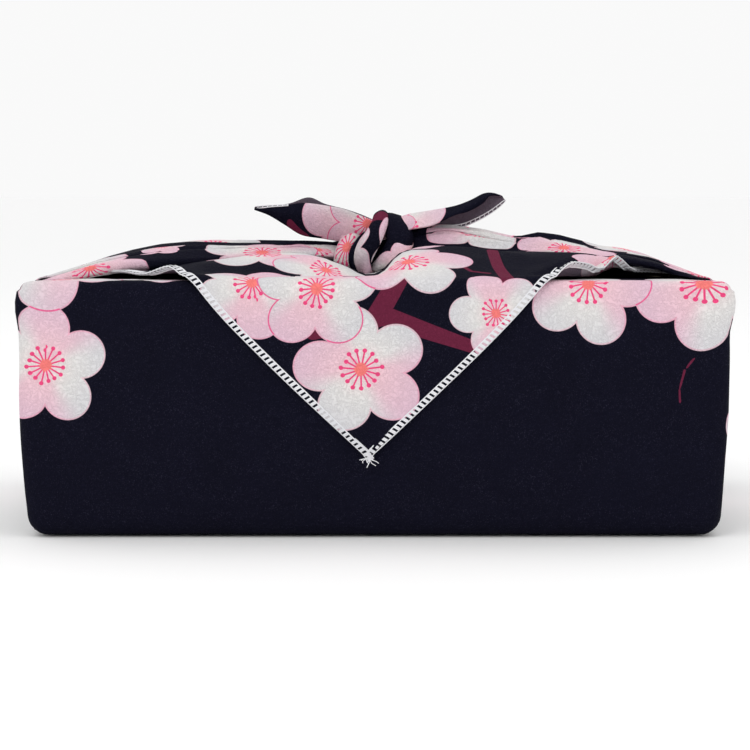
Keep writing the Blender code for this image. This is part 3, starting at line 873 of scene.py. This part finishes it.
# %% Join the grids
def cloth_mesh():
    points, faces, plane = [], [], []
    for grid, flat, printed_out in patches.values():
        base = len(points)
        count_r, count_c = grid.shape[:2]
        points += [tuple(p) for p in grid.reshape(-1, 3)]
        for r in range(count_r - 1):
            for c in range(count_c - 1):
                corners = ((r, c), (r, c + 1), (r + 1, c + 1), (r + 1, c))
                corners = corners if printed_out else corners[::-1]
                faces.append([base + i * count_c + j for i, j in corners])
                plane += [tuple(flat[i, j]) for i, j in corners]
    mesh = bpy.data.meshes.new("furoshiki_cloth")
    mesh.from_pydata(points, [], faces)
    layer = mesh.uv_layers.new(name="flat_cloth")
    layer.uv.foreach_set("vector", np.array(plane, np.float32).ravel())
    return mesh


cloth = bpy.data.objects.new("furoshiki_cloth", cloth_mesh())
bpy.context.scene.collection.objects.link(cloth)
work = bmesh.new()
work.from_mesh(cloth.data)
bmesh.ops.remove_doubles(work, verts=work.verts, dist=2e-6)
middle = [e for e in work.edges if e.is_boundary and max(v.co.z for v in e.verts) < 0.0009]
for face in bmesh.ops.contextual_create(work, geom=middle)["faces"]:
    face.normal_update()
    if face.normal.z > 0:
        face.normal_flip()
for face in work.faces:
    face.smooth = True
work.to_mesh(cloth.data)
work.free()


def pick(piece):
    """Makes a piece the only selected one, as Blender's operators need."""
    bpy.ops.object.select_all(action="DESELECT")
    piece.select_set(True)
    bpy.context.view_layer.objects.active = piece


solid = cloth.modifiers.new("Thickness", "SOLIDIFY")
solid.thickness = THICK
solid.offset = 0.0
solid.material_offset = 1
cloth.data.materials.append(None)
cloth.data.materials.append(None)
pick(cloth)
bpy.ops.object.modifier_apply(modifier=solid.name)
print("cloth faces:", len(cloth.data.polygons))

# %% [markdown]
# ## The print
#
# The cloth is printed with plum blossoms on blue-black: five round petals, white or pink, a hot pink
# outline where a petal lies on another, and a ring of stamens with round heads. Maroon branches run
# between them. Each blossom and branch has its place on the flat cloth in a table. For each face the
# script finds the blossoms that reach it and stores that face's place inside them, so the material
# needs to draw only the three uppermost, and stays sharp at any distance.

# %% Where the blossoms and branches are
# place on the flat cloth, radius, turn in degrees, tone from 0 (white) to just under 1 (pink)
BLOSSOMS = (
    # the hanging corner and the lid, uppermost first
    (0.0168, 0.4012, 0.0280, -48, 0.50),
    (-0.0210, 0.4241, 0.0258, 91, 0.50),
    (-0.0193, 0.3841, 0.0232, 201, 0.40),
    (-0.0480, 0.3690, 0.0265, 18, 0.55),
    (-0.0474, 0.4216, 0.0242, 255, 0.48),
    (-0.0029, 0.4578, 0.0270, 5, 0.50),
    (0.0515, 0.4347, 0.0190, 70, 0.50),
    (0.1040, 0.3900, 0.0180, 20, 0.80),
    (0.0200, 0.3300, 0.0270, 44, 0.60),
    (-0.0700, 0.3200, 0.0250, 20, 0.40),
    (0.0800, 0.3100, 0.0260, 60, 0.50),
    # the front wall and the near flap
    (-0.1351, -0.2300, 0.0300, 54, 0.25),
    (-0.1373, -0.1776, 0.0258, 91, 0.50),
    (0.0893, -0.2121, 0.0268, 179, 0.50),
    (0.1360, -0.2121, 0.0285, 125, 0.50),
    (-0.0890, -0.2340, 0.0215, 53, 0.10),
    (0.1648, -0.1465, 0.0200, 30, 0.20),
    # the bands on the lid
    (-0.3573, -0.0600, 0.0290, -90, 0.75),
    (-0.3850, -0.0520, 0.0230, 20, 0.35),
    (-0.2768, -0.0822, 0.0275, 144, 0.50),
    (-0.3075, -0.0520, 0.0120, 54, 0.98),
    (0.3200, -0.0662, 0.0250, 0, 0.65),
    (0.3600, -0.0330, 0.0310, 144, 0.50),
    (0.2560, -0.0700, 0.0210, 0, 0.95),
    (0.2870, -0.0262, 0.0220, 54, 0.20),
    # the knot
    (0.6410, 0.1012, 0.0230, 54, 0.50),
    (0.6110, 0.3120, 0.0200, 20, 0.98),
    (0.6290, 0.2790, 0.0190, 40, 0.50),
    (0.6142, 0.5120, 0.0190, 54, 0.60),
    # the free ends
    (0.6058, 0.6908, 0.0205, 0, 0.45),
    (0.6135, 0.6900, 0.0230, 34, 0.98),
    (0.6030, 0.7990, 0.0130, 0, 0.98),
    (0.6090, 0.7900, 0.0225, 0, 0.20),
    # sides
    (-0.2550, -0.0300, 0.0270, 12, 0.50),
    (-0.2850, 0.0420, 0.0250, 40, 0.40),
    (-0.3300, 0.0300, 0.0250, 66, 0.50),
    (0.2750, -0.0350, 0.0260, 30, 0.50),
    (0.3100, 0.0100, 0.0260, 6, 0.40),
    (0.3600, -0.0150, 0.0250, 50, 0.60),
    (0.2600, 0.0450, 0.0250, 20, 0.40),
    (-0.1900, 0.0400, 0.0260, 20, 0.50),
    (-0.2150, -0.0100, 0.0240, 50, 0.35),
    (0.1850, 0.0200, 0.0270, 14, 0.45),
    (0.2000, -0.0300, 0.0240, 60, 0.60),
    # back wall and underside
    (0.0700, 0.1700, 0.0270, 12, 0.50),
    (0.0300, 0.1950, 0.0250, 52, 0.40),
    (-0.0900, 0.1900, 0.0260, 24, 0.60),
    (-0.0500, 0.1500, 0.0220, 48, 0.40),
    (0.0300, 0.0300, 0.0270, 0, 0.50),
    (-0.0300, -0.0100, 0.0250, 36, 0.40),
)
# from, to, half width at each end
BRANCHES = (
    (0.0121, 0.4210, 0.0030, 0.4363, 0.0040, 0.0042),
    (0.0060, 0.4355, 0.0450, 0.4496, 0.0042, 0.0025),
    (0.0030, 0.4363, -0.0220, 0.4421, 0.0036, 0.0034),
    (0.0520, 0.3740, 0.0575, 0.4240, 0.0024, 0.0028),
    (0.0395, 0.4040, 0.0430, 0.4105, 0.0012, 0.0009),
    (0.0430, 0.4105, 0.0510, 0.4125, 0.0009, 0.0007),
    (0.1349, -0.1821, 0.1296, -0.1759, 0.0004, 0.0005),
    (0.1296, -0.1759, 0.1275, -0.1676, 0.0005, 0.0004),
    (0.1275, -0.1676, 0.1279, -0.1606, 0.0004, 0.0005),
    (0.6410, 0.6980, 0.6350, 0.7010, 0.0026, 0.0034),
    (0.6400, 0.2900, 0.6360, 0.3100, 0.0030, 0.0040),
    (-0.200, 0.060, -0.260, -0.030, 0.0030, 0.0040),
    (0.280, -0.050, 0.330, 0.020, 0.0040, 0.0030),
    (0.180, -0.010, 0.240, 0.030, 0.0030, 0.0044),
    (-0.020, 0.150, 0.060, 0.210, 0.0040, 0.0030),
    (-0.060, -0.040, 0.050, 0.050, 0.0040, 0.0030),
)
print(len(BLOSSOMS), "blossoms,", len(BRANCHES), "branches")


# %% Store each face's place in the print
LAYERS = 3


def uppermost(reached, count):
    """For each face, the numbers of the first few things in a table that reach it."""
    slots = np.full((count, LAYERS), -1)
    filled = np.zeros(count, int)
    for number, near in enumerate(reached):
        hit = np.where(near & (filled < LAYERS))[0]
        slots[hit, filled[hit]] = number
        filled[hit] += 1
    return slots


def in_blossom(flat, number):
    """Places in a blossom's own coordinates, and its tone and number in one value."""
    p, q, radius, turn, tone = BLOSSOMS[number]
    off = (flat - (p, q)) / radius
    c, s = math.cos(math.radians(turn)), math.sin(math.radians(turn))
    code = np.full(len(off), tone + number)
    return np.column_stack((off[:, 0] * c + off[:, 1] * s, off[:, 1] * c - off[:, 0] * s, code))


def in_branch(flat, number):
    """Places across a branch and past its ends, both in half widths."""
    p0, q0, p1, q1, w0, w1 = BRANCHES[number]
    run, off = np.array((p1 - p0, q1 - q0)), flat - (p0, q0)
    length = math.hypot(*run)
    along = off @ run / length
    aside = off @ np.array((-run[1], run[0])) / length
    wide = w0 + (w1 - w0) * np.clip(along / length, 0, 1)
    past = np.maximum(0, np.maximum(-along, along - length))
    return np.column_stack((aside / wide, past / wide, np.zeros(len(off))))


def store_print(mesh):
    """Gives each face corner its place in the blossoms and branches that reach the face."""
    flat = np.zeros(len(mesh.loops) * 2, np.float32)
    mesh.uv_layers["flat_cloth"].uv.foreach_get("vector", flat)
    flat = flat.reshape(-1, 2).astype(float)
    totals = np.zeros(len(mesh.polygons), np.int32)
    mesh.polygons.foreach_get("loop_total", totals)
    count = len(totals)
    owner = np.repeat(np.arange(count), totals)
    low, high = np.full((count, 2), 1e9), np.full((count, 2), -1e9)
    np.minimum.at(low, owner, flat)
    np.maximum.at(high, owner, flat)

    reached = []
    for p, q, radius, _turn, _tone in BLOSSOMS:
        nearest = np.clip((p, q), low, high) - (p, q)
        reached.append(np.linalg.norm(nearest, axis=1) < radius * 1.06)
    blossoms = uppermost(reached, count)
    reached = []
    for p0, q0, p1, q1, w0, w1 in BRANCHES:
        run, off = np.array((p1 - p0, q1 - q0)), (low + high) / 2 - (p0, q0)
        share = np.clip(off @ run / (run @ run), 0, 1)
        away = np.linalg.norm(off - share[:, None] * run, axis=1)
        reached.append(away < max(w0, w1) + 0.006)
    branches = uppermost(reached, count)

    for name, table, slots, place_in in (
        ("bloom", BLOSSOMS, blossoms, in_blossom),
        ("branch", BRANCHES, branches, in_branch),
    ):
        for layer in range(LAYERS):
            out = np.full((len(flat), 3), (9.0, 9.0, 0.0))
            for number in range(len(table)):
                mine = slots[owner, layer] == number
                out[mine] = place_in(flat[mine], number)
            attribute = mesh.attributes.new(f"{name}_{layer}", "FLOAT_VECTOR", "CORNER")
            attribute.data.foreach_set("vector", out.astype(np.float32).ravel())
    print("faces with a blossom:", int((blossoms[:, 0] >= 0).sum()), "of", count)


store_print(cloth.data)

# %% [markdown]
# ## The blossom as a node group
#
# A plum blossom in its own coordinates has radius 1. The angle is folded into one fifth of a turn, so
# one round petal is drawn five times, and folded again for the stamens. Distances to those circles
# and lines give crisp masks for the petals, their outline, the stamens and the salmon heart.


# %% Node helpers
class Nodes:
    """Adds nodes to a tree and links them, so that a formula reads from left to right."""

    def __init__(self, tree):
        self.tree = tree

    def add(self, kind, **settings):
        node = self.tree.nodes.new(kind)
        for name, value in settings.items():
            setattr(node, name, value)
        return node

    def put(self, socket, value):
        if hasattr(value, "is_output"):
            self.tree.links.new(value, socket)
        elif value is not None:
            socket.default_value = value

    def math(self, operation, a, b=None, c=None):
        node = self.add("ShaderNodeMath", operation=operation)
        for socket, value in zip(node.inputs, (a, b, c)):
            self.put(socket, value)
        return node.outputs[0]

    def between(self, value, low, high, low_out=0.0, high_out=1.0):
        node = self.add("ShaderNodeMapRange", interpolation_type="SMOOTHSTEP")
        for socket, given in zip(node.inputs, (value, low, high, low_out, high_out)):
            self.put(socket, given)
        return node.outputs[0]

    def mix(self, share, a, b, blend="MIX"):
        node = self.add("ShaderNodeMix", data_type="RGBA", blend_type=blend)
        for socket, value in zip((node.inputs[0], node.inputs[6], node.inputs[7]), (share, a, b)):
            self.put(socket, value)
        return node.outputs[2]

    def length(self, x, y):
        squares = self.math("ADD", self.math("MULTIPLY", x, x), self.math("MULTIPLY", y, y))
        return self.math("SQRT", squares)

    def noise(self, place, scale, detail=2.0, roughness=0.5, distortion=0.0):
        node = self.add("ShaderNodeTexNoise")
        self.put(node.inputs["Vector"], place)
        given = {"Scale": scale, "Detail": detail, "Roughness": roughness, "Distortion": distortion}
        for name, value in given.items():
            node.inputs[name].default_value = value
        return node.outputs[0]

    def bump(self, shader, height, strength, distance):
        node = self.add("ShaderNodeBump")
        node.inputs["Strength"].default_value = strength
        node.inputs["Distance"].default_value = distance
        self.put(node.inputs["Height"], height)
        self.put(shader.inputs["Normal"], node.outputs[0])


def new_material(name):
    """A material, its nodes, its shader and the piece's own coordinates."""
    material = bpy.data.materials.new(name)
    material.use_nodes = True
    n = Nodes(material.node_tree)
    place = n.add("ShaderNodeTexCoord").outputs["Object"]
    return material, n, material.node_tree.nodes["Principled BSDF"], place


def colour(r, g, b):
    """A colour as seen on screen, from 0 to 255, made linear for the shader."""
    made = []
    for value in (r, g, b):
        v = value / 255
        made.append(v / 12.92 if v <= 0.04045 else ((v + 0.055) / 1.055) ** 2.4)
    return (*made, 1.0)


# %% The blossom group
# in blossom radii: where a petal's circle has its middle, its radius, and the radius of the disc within
PETALS, PETAL_AT, PETAL_RADIUS, DISC = 5, 0.60, 0.40, 0.42
STAMENS, STAMEN_REACH = 15, 0.245


def blossom_group():
    tree = bpy.data.node_groups.new("plum blossom", "ShaderNodeTree")
    tree.interface.new_socket("Place", in_out="INPUT", socket_type="NodeSocketVector")
    for name, kind in (("Colour", "Color"), ("Mask", "Float"), ("Outline", "Float")):
        tree.interface.new_socket(name, in_out="OUTPUT", socket_type="NodeSocket" + kind)
    n = Nodes(tree)
    start, end = n.add("NodeGroupInput"), n.add("NodeGroupOutput")
    split = n.add("ShaderNodeSeparateXYZ")
    n.put(split.inputs[0], start.outputs[0])
    x, y, code = split.outputs
    tone = n.math("FRACT", code)
    radius = n.length(x, y)
    angle = n.math("ARCTAN2", y, x)
    fifth = math.tau / PETALS

    folded = n.math("ADD", n.math("DIVIDE", angle, fifth), 10.0)
    off = n.math("MULTIPLY", n.math("SUBTRACT", n.math("FRACT", folded), 0.5), fifth)
    px = n.math("SUBTRACT", n.math("MULTIPLY", radius, n.math("COSINE", off)), PETAL_AT)
    py = n.math("MULTIPLY", n.math("MULTIPLY", radius, n.math("SINE", off)), 1.02)
    edge = n.math("SUBTRACT", n.length(px, py), PETAL_RADIUS)
    edge = n.math("MINIMUM", edge, n.math("SUBTRACT", radius, DISC))
    mask = n.between(edge, 0.004, -0.004)

    twice = n.math("SINE", n.math("MULTIPLY_ADD", angle, 2.0, math.radians(54)))
    share = n.math("MULTIPLY_ADD", n.math("SUBTRACT", tone, 0.5), 2.0, twice)
    share = n.between(share, -0.55, 0.75)
    white = n.mix(n.between(radius, 0.2, 1.0), colour(230, 227, 224), colour(216, 215, 218))
    pink = n.mix(n.between(radius, 0.25, 1.0), colour(236, 198, 208), colour(226, 192, 208))
    body = n.mix(share, white, pink)
    body = n.mix(n.math("MULTIPLY", n.between(radius, 0.5, 0.1), 0.45), body, colour(243, 200, 208))
    line = n.between(edge, -0.030, -0.018)

    folded = n.math("ADD", n.math("MULTIPLY", angle, STAMENS / math.tau), 30.0)
    stamen = n.math("FLOOR", folded)
    jitter = n.math("SINE", n.math("MULTIPLY_ADD", stamen, 1.7, code))
    jitter = n.math("FRACT", n.math("MULTIPLY", jitter, 17.3))
    off = n.math("MULTIPLY", n.math("SUBTRACT", n.math("FRACT", folded), 0.5), math.tau / STAMENS)
    aside = n.math("MULTIPLY", radius, n.math("SINE", off))
    reach = n.math("MULTIPLY_ADD", jitter, 0.07, STAMEN_REACH)
    head = n.math("SUBTRACT", n.math("MULTIPLY", radius, n.math("COSINE", off)), reach)
    head = n.between(n.length(head, aside), 0.039, 0.029)
    stalk = n.between(n.math("ABSOLUTE", aside), 0.016, 0.010)
    stalk = n.math("MULTIPLY", stalk, n.math("LESS_THAN", radius, reach))
    marks = n.math("MAXIMUM", head, n.math("MULTIPLY", stalk, n.math("GREATER_THAN", radius, 0.06)))
    body = n.mix(marks, body, colour(240, 78, 132))
    heart = n.between(n.math("MULTIPLY_ADD", jitter, -0.03, radius), 0.100, 0.070)
    body = n.mix(heart, body, colour(247, 128, 124))
    n.put(end.inputs[0], body)
    n.put(end.inputs[1], mask)
    n.put(end.inputs[2], line)
    return tree


blossom = blossom_group()
print("blossom nodes:", len(blossom.nodes))

# %% [markdown]
# ## Crepe
#
# The cloth is a chirimen crepe. Its hard-twisted weft shrinks and leaves a fine, worm-like grain about
# a millimetre across, which catches the light on the pale petals and sparkles on the dark ground. The
# sparkle on the dark ground is painted: pale glints put into the ground's colour.
# Folded noise gives such a grain: the height is the distance from where the noise crosses its middle.
# The print shows through on the wrong side only as a pale, greyed version, so that side has its own
# material, made by the same function.


# %% The printed crepe
def crepe_material(name, wrong_side):
    material, n, shader, place = new_material(name)
    grain = n.noise(place, 620.0, 1.5, 0.55, 0.9)
    ridge = n.math("ABSOLUTE", n.math("SUBTRACT", grain, 0.5))
    ridge = n.between(ridge, 0.0, 0.13)
    fine = n.noise(place, 2600.0, 1.0)
    relief = n.math("MULTIPLY_ADD", fine, 0.35, ridge)
    slow = n.noise(place, 45.0, 3.0)

    ground = n.mix(slow, colour(15, 15, 27), colour(20, 20, 34))
    # painted glints: small pale specks put into the dark ground's colour, standing for the sparkle of the
    # crepe's grain in the light
    painted_glints = n.math("MULTIPLY", n.between(fine, 0.60, 0.74), 0.28)
    body = n.mix(painted_glints, ground, colour(80, 78, 100))
    for name in ("branch_2", "branch_1", "branch_0"):
        data = n.add("ShaderNodeAttribute", attribute_name=name)
        split = n.add("ShaderNodeSeparateXYZ")
        n.put(split.inputs[0], data.outputs["Vector"])
        away = n.length(split.outputs[0], split.outputs[1])
        body = n.mix(n.between(away, 1.03, 0.97), body, colour(106, 38, 62))
    below = 0.0
    for name in ("bloom_2", "bloom_1", "bloom_0"):
        data = n.add("ShaderNodeAttribute", attribute_name=name)
        group = n.add("ShaderNodeGroup")
        group.node_tree = blossom
        n.put(group.inputs[0], data.outputs["Vector"])
        strength = n.math("MULTIPLY", group.outputs[2], n.math("MULTIPLY_ADD", below, 0.60, 0.25))
        petals = n.mix(strength, group.outputs[0], colour(236, 70, 138))
        body = n.mix(group.outputs[1], body, petals)
        below = n.math("MAXIMUM", group.outputs[1], below)
    if wrong_side:
        body = n.mix(0.52, body, colour(136, 122, 136))
    shade = n.math("MULTIPLY", n.between(ridge, 0.5, 0.0), 0.12)
    body = n.mix(shade, body, colour(120, 105, 115), "MULTIPLY")
    n.put(shader.inputs["Base Color"], body)
    n.put(shader.inputs["Roughness"], n.between(slow, 0.3, 0.7, 0.66, 0.78))
    shader.inputs["Specular IOR Level"].default_value = 0.02
    n.bump(shader, relief, 0.65, 0.00035)
    return material


cloth.data.materials[0] = crepe_material("printed_crepe", False)
cloth.data.materials[1] = crepe_material("printed_crepe_wrong_side", True)

# %% [markdown]
# ## Overlocked edges
#
# All four edges of the cloth are overlocked with white thread. Seen close, that is a ladder: a chain
# along the very edge, a straight needle thread 2.4 mm in from it, and a slanting bar of four threads
# across for every stitch. The free ends have a finer row. Each thread is a fine tube that follows
# the cloth's own edge.

# %% Threads along an edge
PITCH = 0.00235
SEAM = 0.0024
THREAD = 0.00020
BAR_STEP = 0.00034


def stepped(edge, inner, step):
    """Evenly spaced points along an edge, each with its neighbour on the line beside it."""
    edge, inner = np.array(edge, float), np.array(inner, float)
    gone = run_along(edge)
    at = np.linspace(0, gone[-1], max(2, round(gone[-1] / step)) + 1)
    out = np.stack([np.interp(at, gone, edge[:, k]) for k in range(3)], axis=1)
    near = np.stack([np.interp(at, gone, inner[:, k]) for k in range(3)], axis=1)
    return [Vector(p) for p in out], [Vector(p) for p in near]


def thread_curve(name, lines, radius):
    """Thin tubes along lines of points, as one mesh."""
    data = bpy.data.curves.new(name, "CURVE")
    data.dimensions = "3D"
    data.bevel_depth = radius
    data.bevel_resolution = 1
    for line in lines:
        spline = data.splines.new("POLY")
        spline.points.add(len(line) - 1)
        for point, spot in zip(spline.points, line):
            point.co = (*spot, 1.0)
    piece = bpy.data.objects.new(name, data)
    bpy.context.scene.collection.objects.link(piece)
    pick(piece)
    bpy.ops.object.convert(target="MESH")
    return bpy.context.object


def overlock(edge, inner, seam, bars):
    """Lines of thread for a stitched edge; inner is the edge's neighbour line on the cloth."""
    out, near = stepped(edge, inner, PITCH / 3)
    count = len(out)
    lines, chain, needles = [], [], ([], [])
    for i in range(count):
        ahead = (out[min(i + 1, count - 1)] - out[max(i - 1, 0)]).normalized()
        inward = near[i] - out[i]
        inward = (inward - ahead * inward.dot(ahead)).normalized()
        up = ahead.cross(inward).normalized()
        face = THICK / 2 + THREAD * 0.8
        chain.append(out[i] - inward * 0.0002)
        for side, needle in zip((1, -1), needles):
            needle.append(out[i] + inward * seam + up * face * side)
        if i % 3 == 0:
            for side in (1, -1):
                for shift in [BAR_STEP * bar for bar in range(bars)]:
                    a = out[i] + ahead * shift + up * face * side - inward * 0.0001
                    b = a + inward * seam / 2 + ahead * 0.0003 + up * side * 0.00006
                    c = out[i] + inward * seam + ahead * (shift + 0.0007) + up * face * side
                    lines.append([a, b, c])
    return lines, [chain, *needles]


flap = patches["far_flap"][0]
rungs, runs = [], []
first = next(i for i, row in enumerate(flap) if abs(row[0][0] - row[-1][0]) < 2 * STRAIGHT_X - 0.002)
# grid, its first row, the column of its edge and one beside it, seam, threads in a bar
for name, start, column, beside, seam, bars in (
    ("far_flap", first, 0, 3, SEAM, 4),
    ("far_flap", first, -1, -4, SEAM, 4),
    ("end_left", 30, 0, 4, 0.0006, 1),
    ("end_right", 16, -1, -5, 0.0010, 1),
):
    leaf = patches[name][0][start:]
    lines, along = overlock(leaf[:, column], leaf[:, beside], seam, bars)
    rungs += lines
    runs += along
stitches = thread_curve("overlock_stitches", rungs, THREAD)
chains = thread_curve("overlock_chain", runs, THREAD * 1.4)
print(len(rungs), "stitch threads")

# %% The thread tails at the corner
tip = Vector(flap[-1][BACK_COLUMNS // 2])
tails = []
for k in range(12):
    turn = math.radians(200 + 13 * k + 7 * math.sin(5 * k))
    long = 0.0032 + 0.0014 * math.sin(3.3 * k)
    aim = Vector((math.cos(turn), -0.25 + 0.05 * math.sin(k), math.sin(turn)))
    tails.append([])
    for s in (0, 0.35, 0.7, 1):
        curl = Vector((0.0007 * math.sin(5 * s + k), -0.0005, 0.0005))
        tails[-1].append(tip + aim * long * s + curl)
tuft = thread_curve("corner_thread_tails", tails, THREAD * 0.9)


# %% Thread material
def thread_material():
    material, n, shader, place = new_material("white_thread")
    twist = n.noise(place, 2400.0)
    n.put(shader.inputs["Base Color"], n.mix(twist, colour(214, 214, 220), colour(246, 246, 248)))
    shader.inputs["Roughness"].default_value = 0.62
    shader.inputs["Sheen Weight"].default_value = 0.25
    n.bump(shader, twist, 0.4, 0.0001)
    return material


thread = thread_material()
for piece in (stitches, chains, tuft):
    piece.data.materials.clear()
    piece.data.materials.append(thread)
    for polygon in piece.data.polygons:
        polygon.use_smooth = True

# %% [markdown]
# ## The gift box
#
# The box is what gives the wrap its shape. It is hidden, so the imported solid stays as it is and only
# gets a card finish: pale board with faint fibres.


# %% Box card
def card_material():
    material, n, shader, place = new_material("box_card")
    fibre = n.noise(place, 900.0, 4.0)
    n.put(shader.inputs["Base Color"], n.mix(fibre, colour(196, 182, 160), colour(216, 204, 184)))
    shader.inputs["Roughness"].default_value = 0.8
    return material


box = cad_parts["gift_box"]
box.data.materials.clear()
box.data.materials.append(card_material())

# %% [markdown]
# ## Fix the pieces to the frame
#
# Cloth has no joints, so everything rides on the one body. The imported cloth solid is hidden, and
# the cloth piece shows in its place.

# %% Ride, and hide the imported cloth
for piece in (cloth, stitches, chains, tuft):
    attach(piece, "root")
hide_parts("furoshiki")

# %% [markdown]
# ## Floor, light and camera
#
# A pale floor, a bright even surround and three soft lamps give the flat light of a shop photograph.
# The camera stands about a metre from the front, a little above the lid, and looks slightly down.


# %% Floor
bpy.ops.mesh.primitive_plane_add(size=120.0, location=(0.0, 0.0, -0.0002))
floor = bpy.context.object
floor.name = "floor"
floor_paint, _, floor_shader, _ = new_material("pale_floor")
floor_shader.inputs["Base Color"].default_value = (0.99, 0.99, 0.99, 1.0)
floor_shader.inputs["Roughness"].default_value = 0.9
floor.data.materials.append(floor_paint)
floor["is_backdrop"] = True

# %% Light
world = bpy.data.worlds.new("studio")
bpy.context.scene.world = world
world.use_nodes = True
surround = world.node_tree.nodes["Background"]
surround.inputs["Color"].default_value = (1.0, 1.0, 1.0, 1.0)
surround.inputs["Strength"].default_value = 0.95


def soft_lamp(name, place, aim, size, power):
    data = bpy.data.lights.new(name, "AREA")
    data.shape = "RECTANGLE"
    data.size, data.size_y = size
    data.energy = power
    lamp = bpy.data.objects.new(name, data)
    bpy.context.scene.collection.objects.link(lamp)
    lamp.location = place
    lamp.rotation_euler = (Vector(aim) - Vector(place)).to_track_quat("-Z", "Y").to_euler()


soft_lamp("key", (-0.7, -1.3, 1.5), (0, 0, 0.05), (1.0, 0.8), 5)
soft_lamp("fill", (1.3, -1.1, 0.9), (0, 0, 0.08), (1.0, 1.0), 1.5)
soft_lamp("top", (0.1, 0.4, 1.6), (0, 0, 0.1), (1.2, 1.2), 2)

# %% Camera
camera_data = bpy.data.cameras.new("camera")
camera_data.lens = 114.3
camera_data.sensor_width = 36.0
camera = bpy.data.objects.new("camera", camera_data)
bpy.context.scene.collection.objects.link(camera)
camera.location = (0.0003, -1.0975, 0.145)
camera.rotation_euler = (math.radians(90 - 4.4), 0.0, 0.0)
bpy.context.scene.camera = camera
bpy.context.scene.view_settings.view_transform = "Standard"

# %% Sizes of the visual pieces
low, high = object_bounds()
print("visual", [round(b - a, 4) for a, b in zip(low, high)])
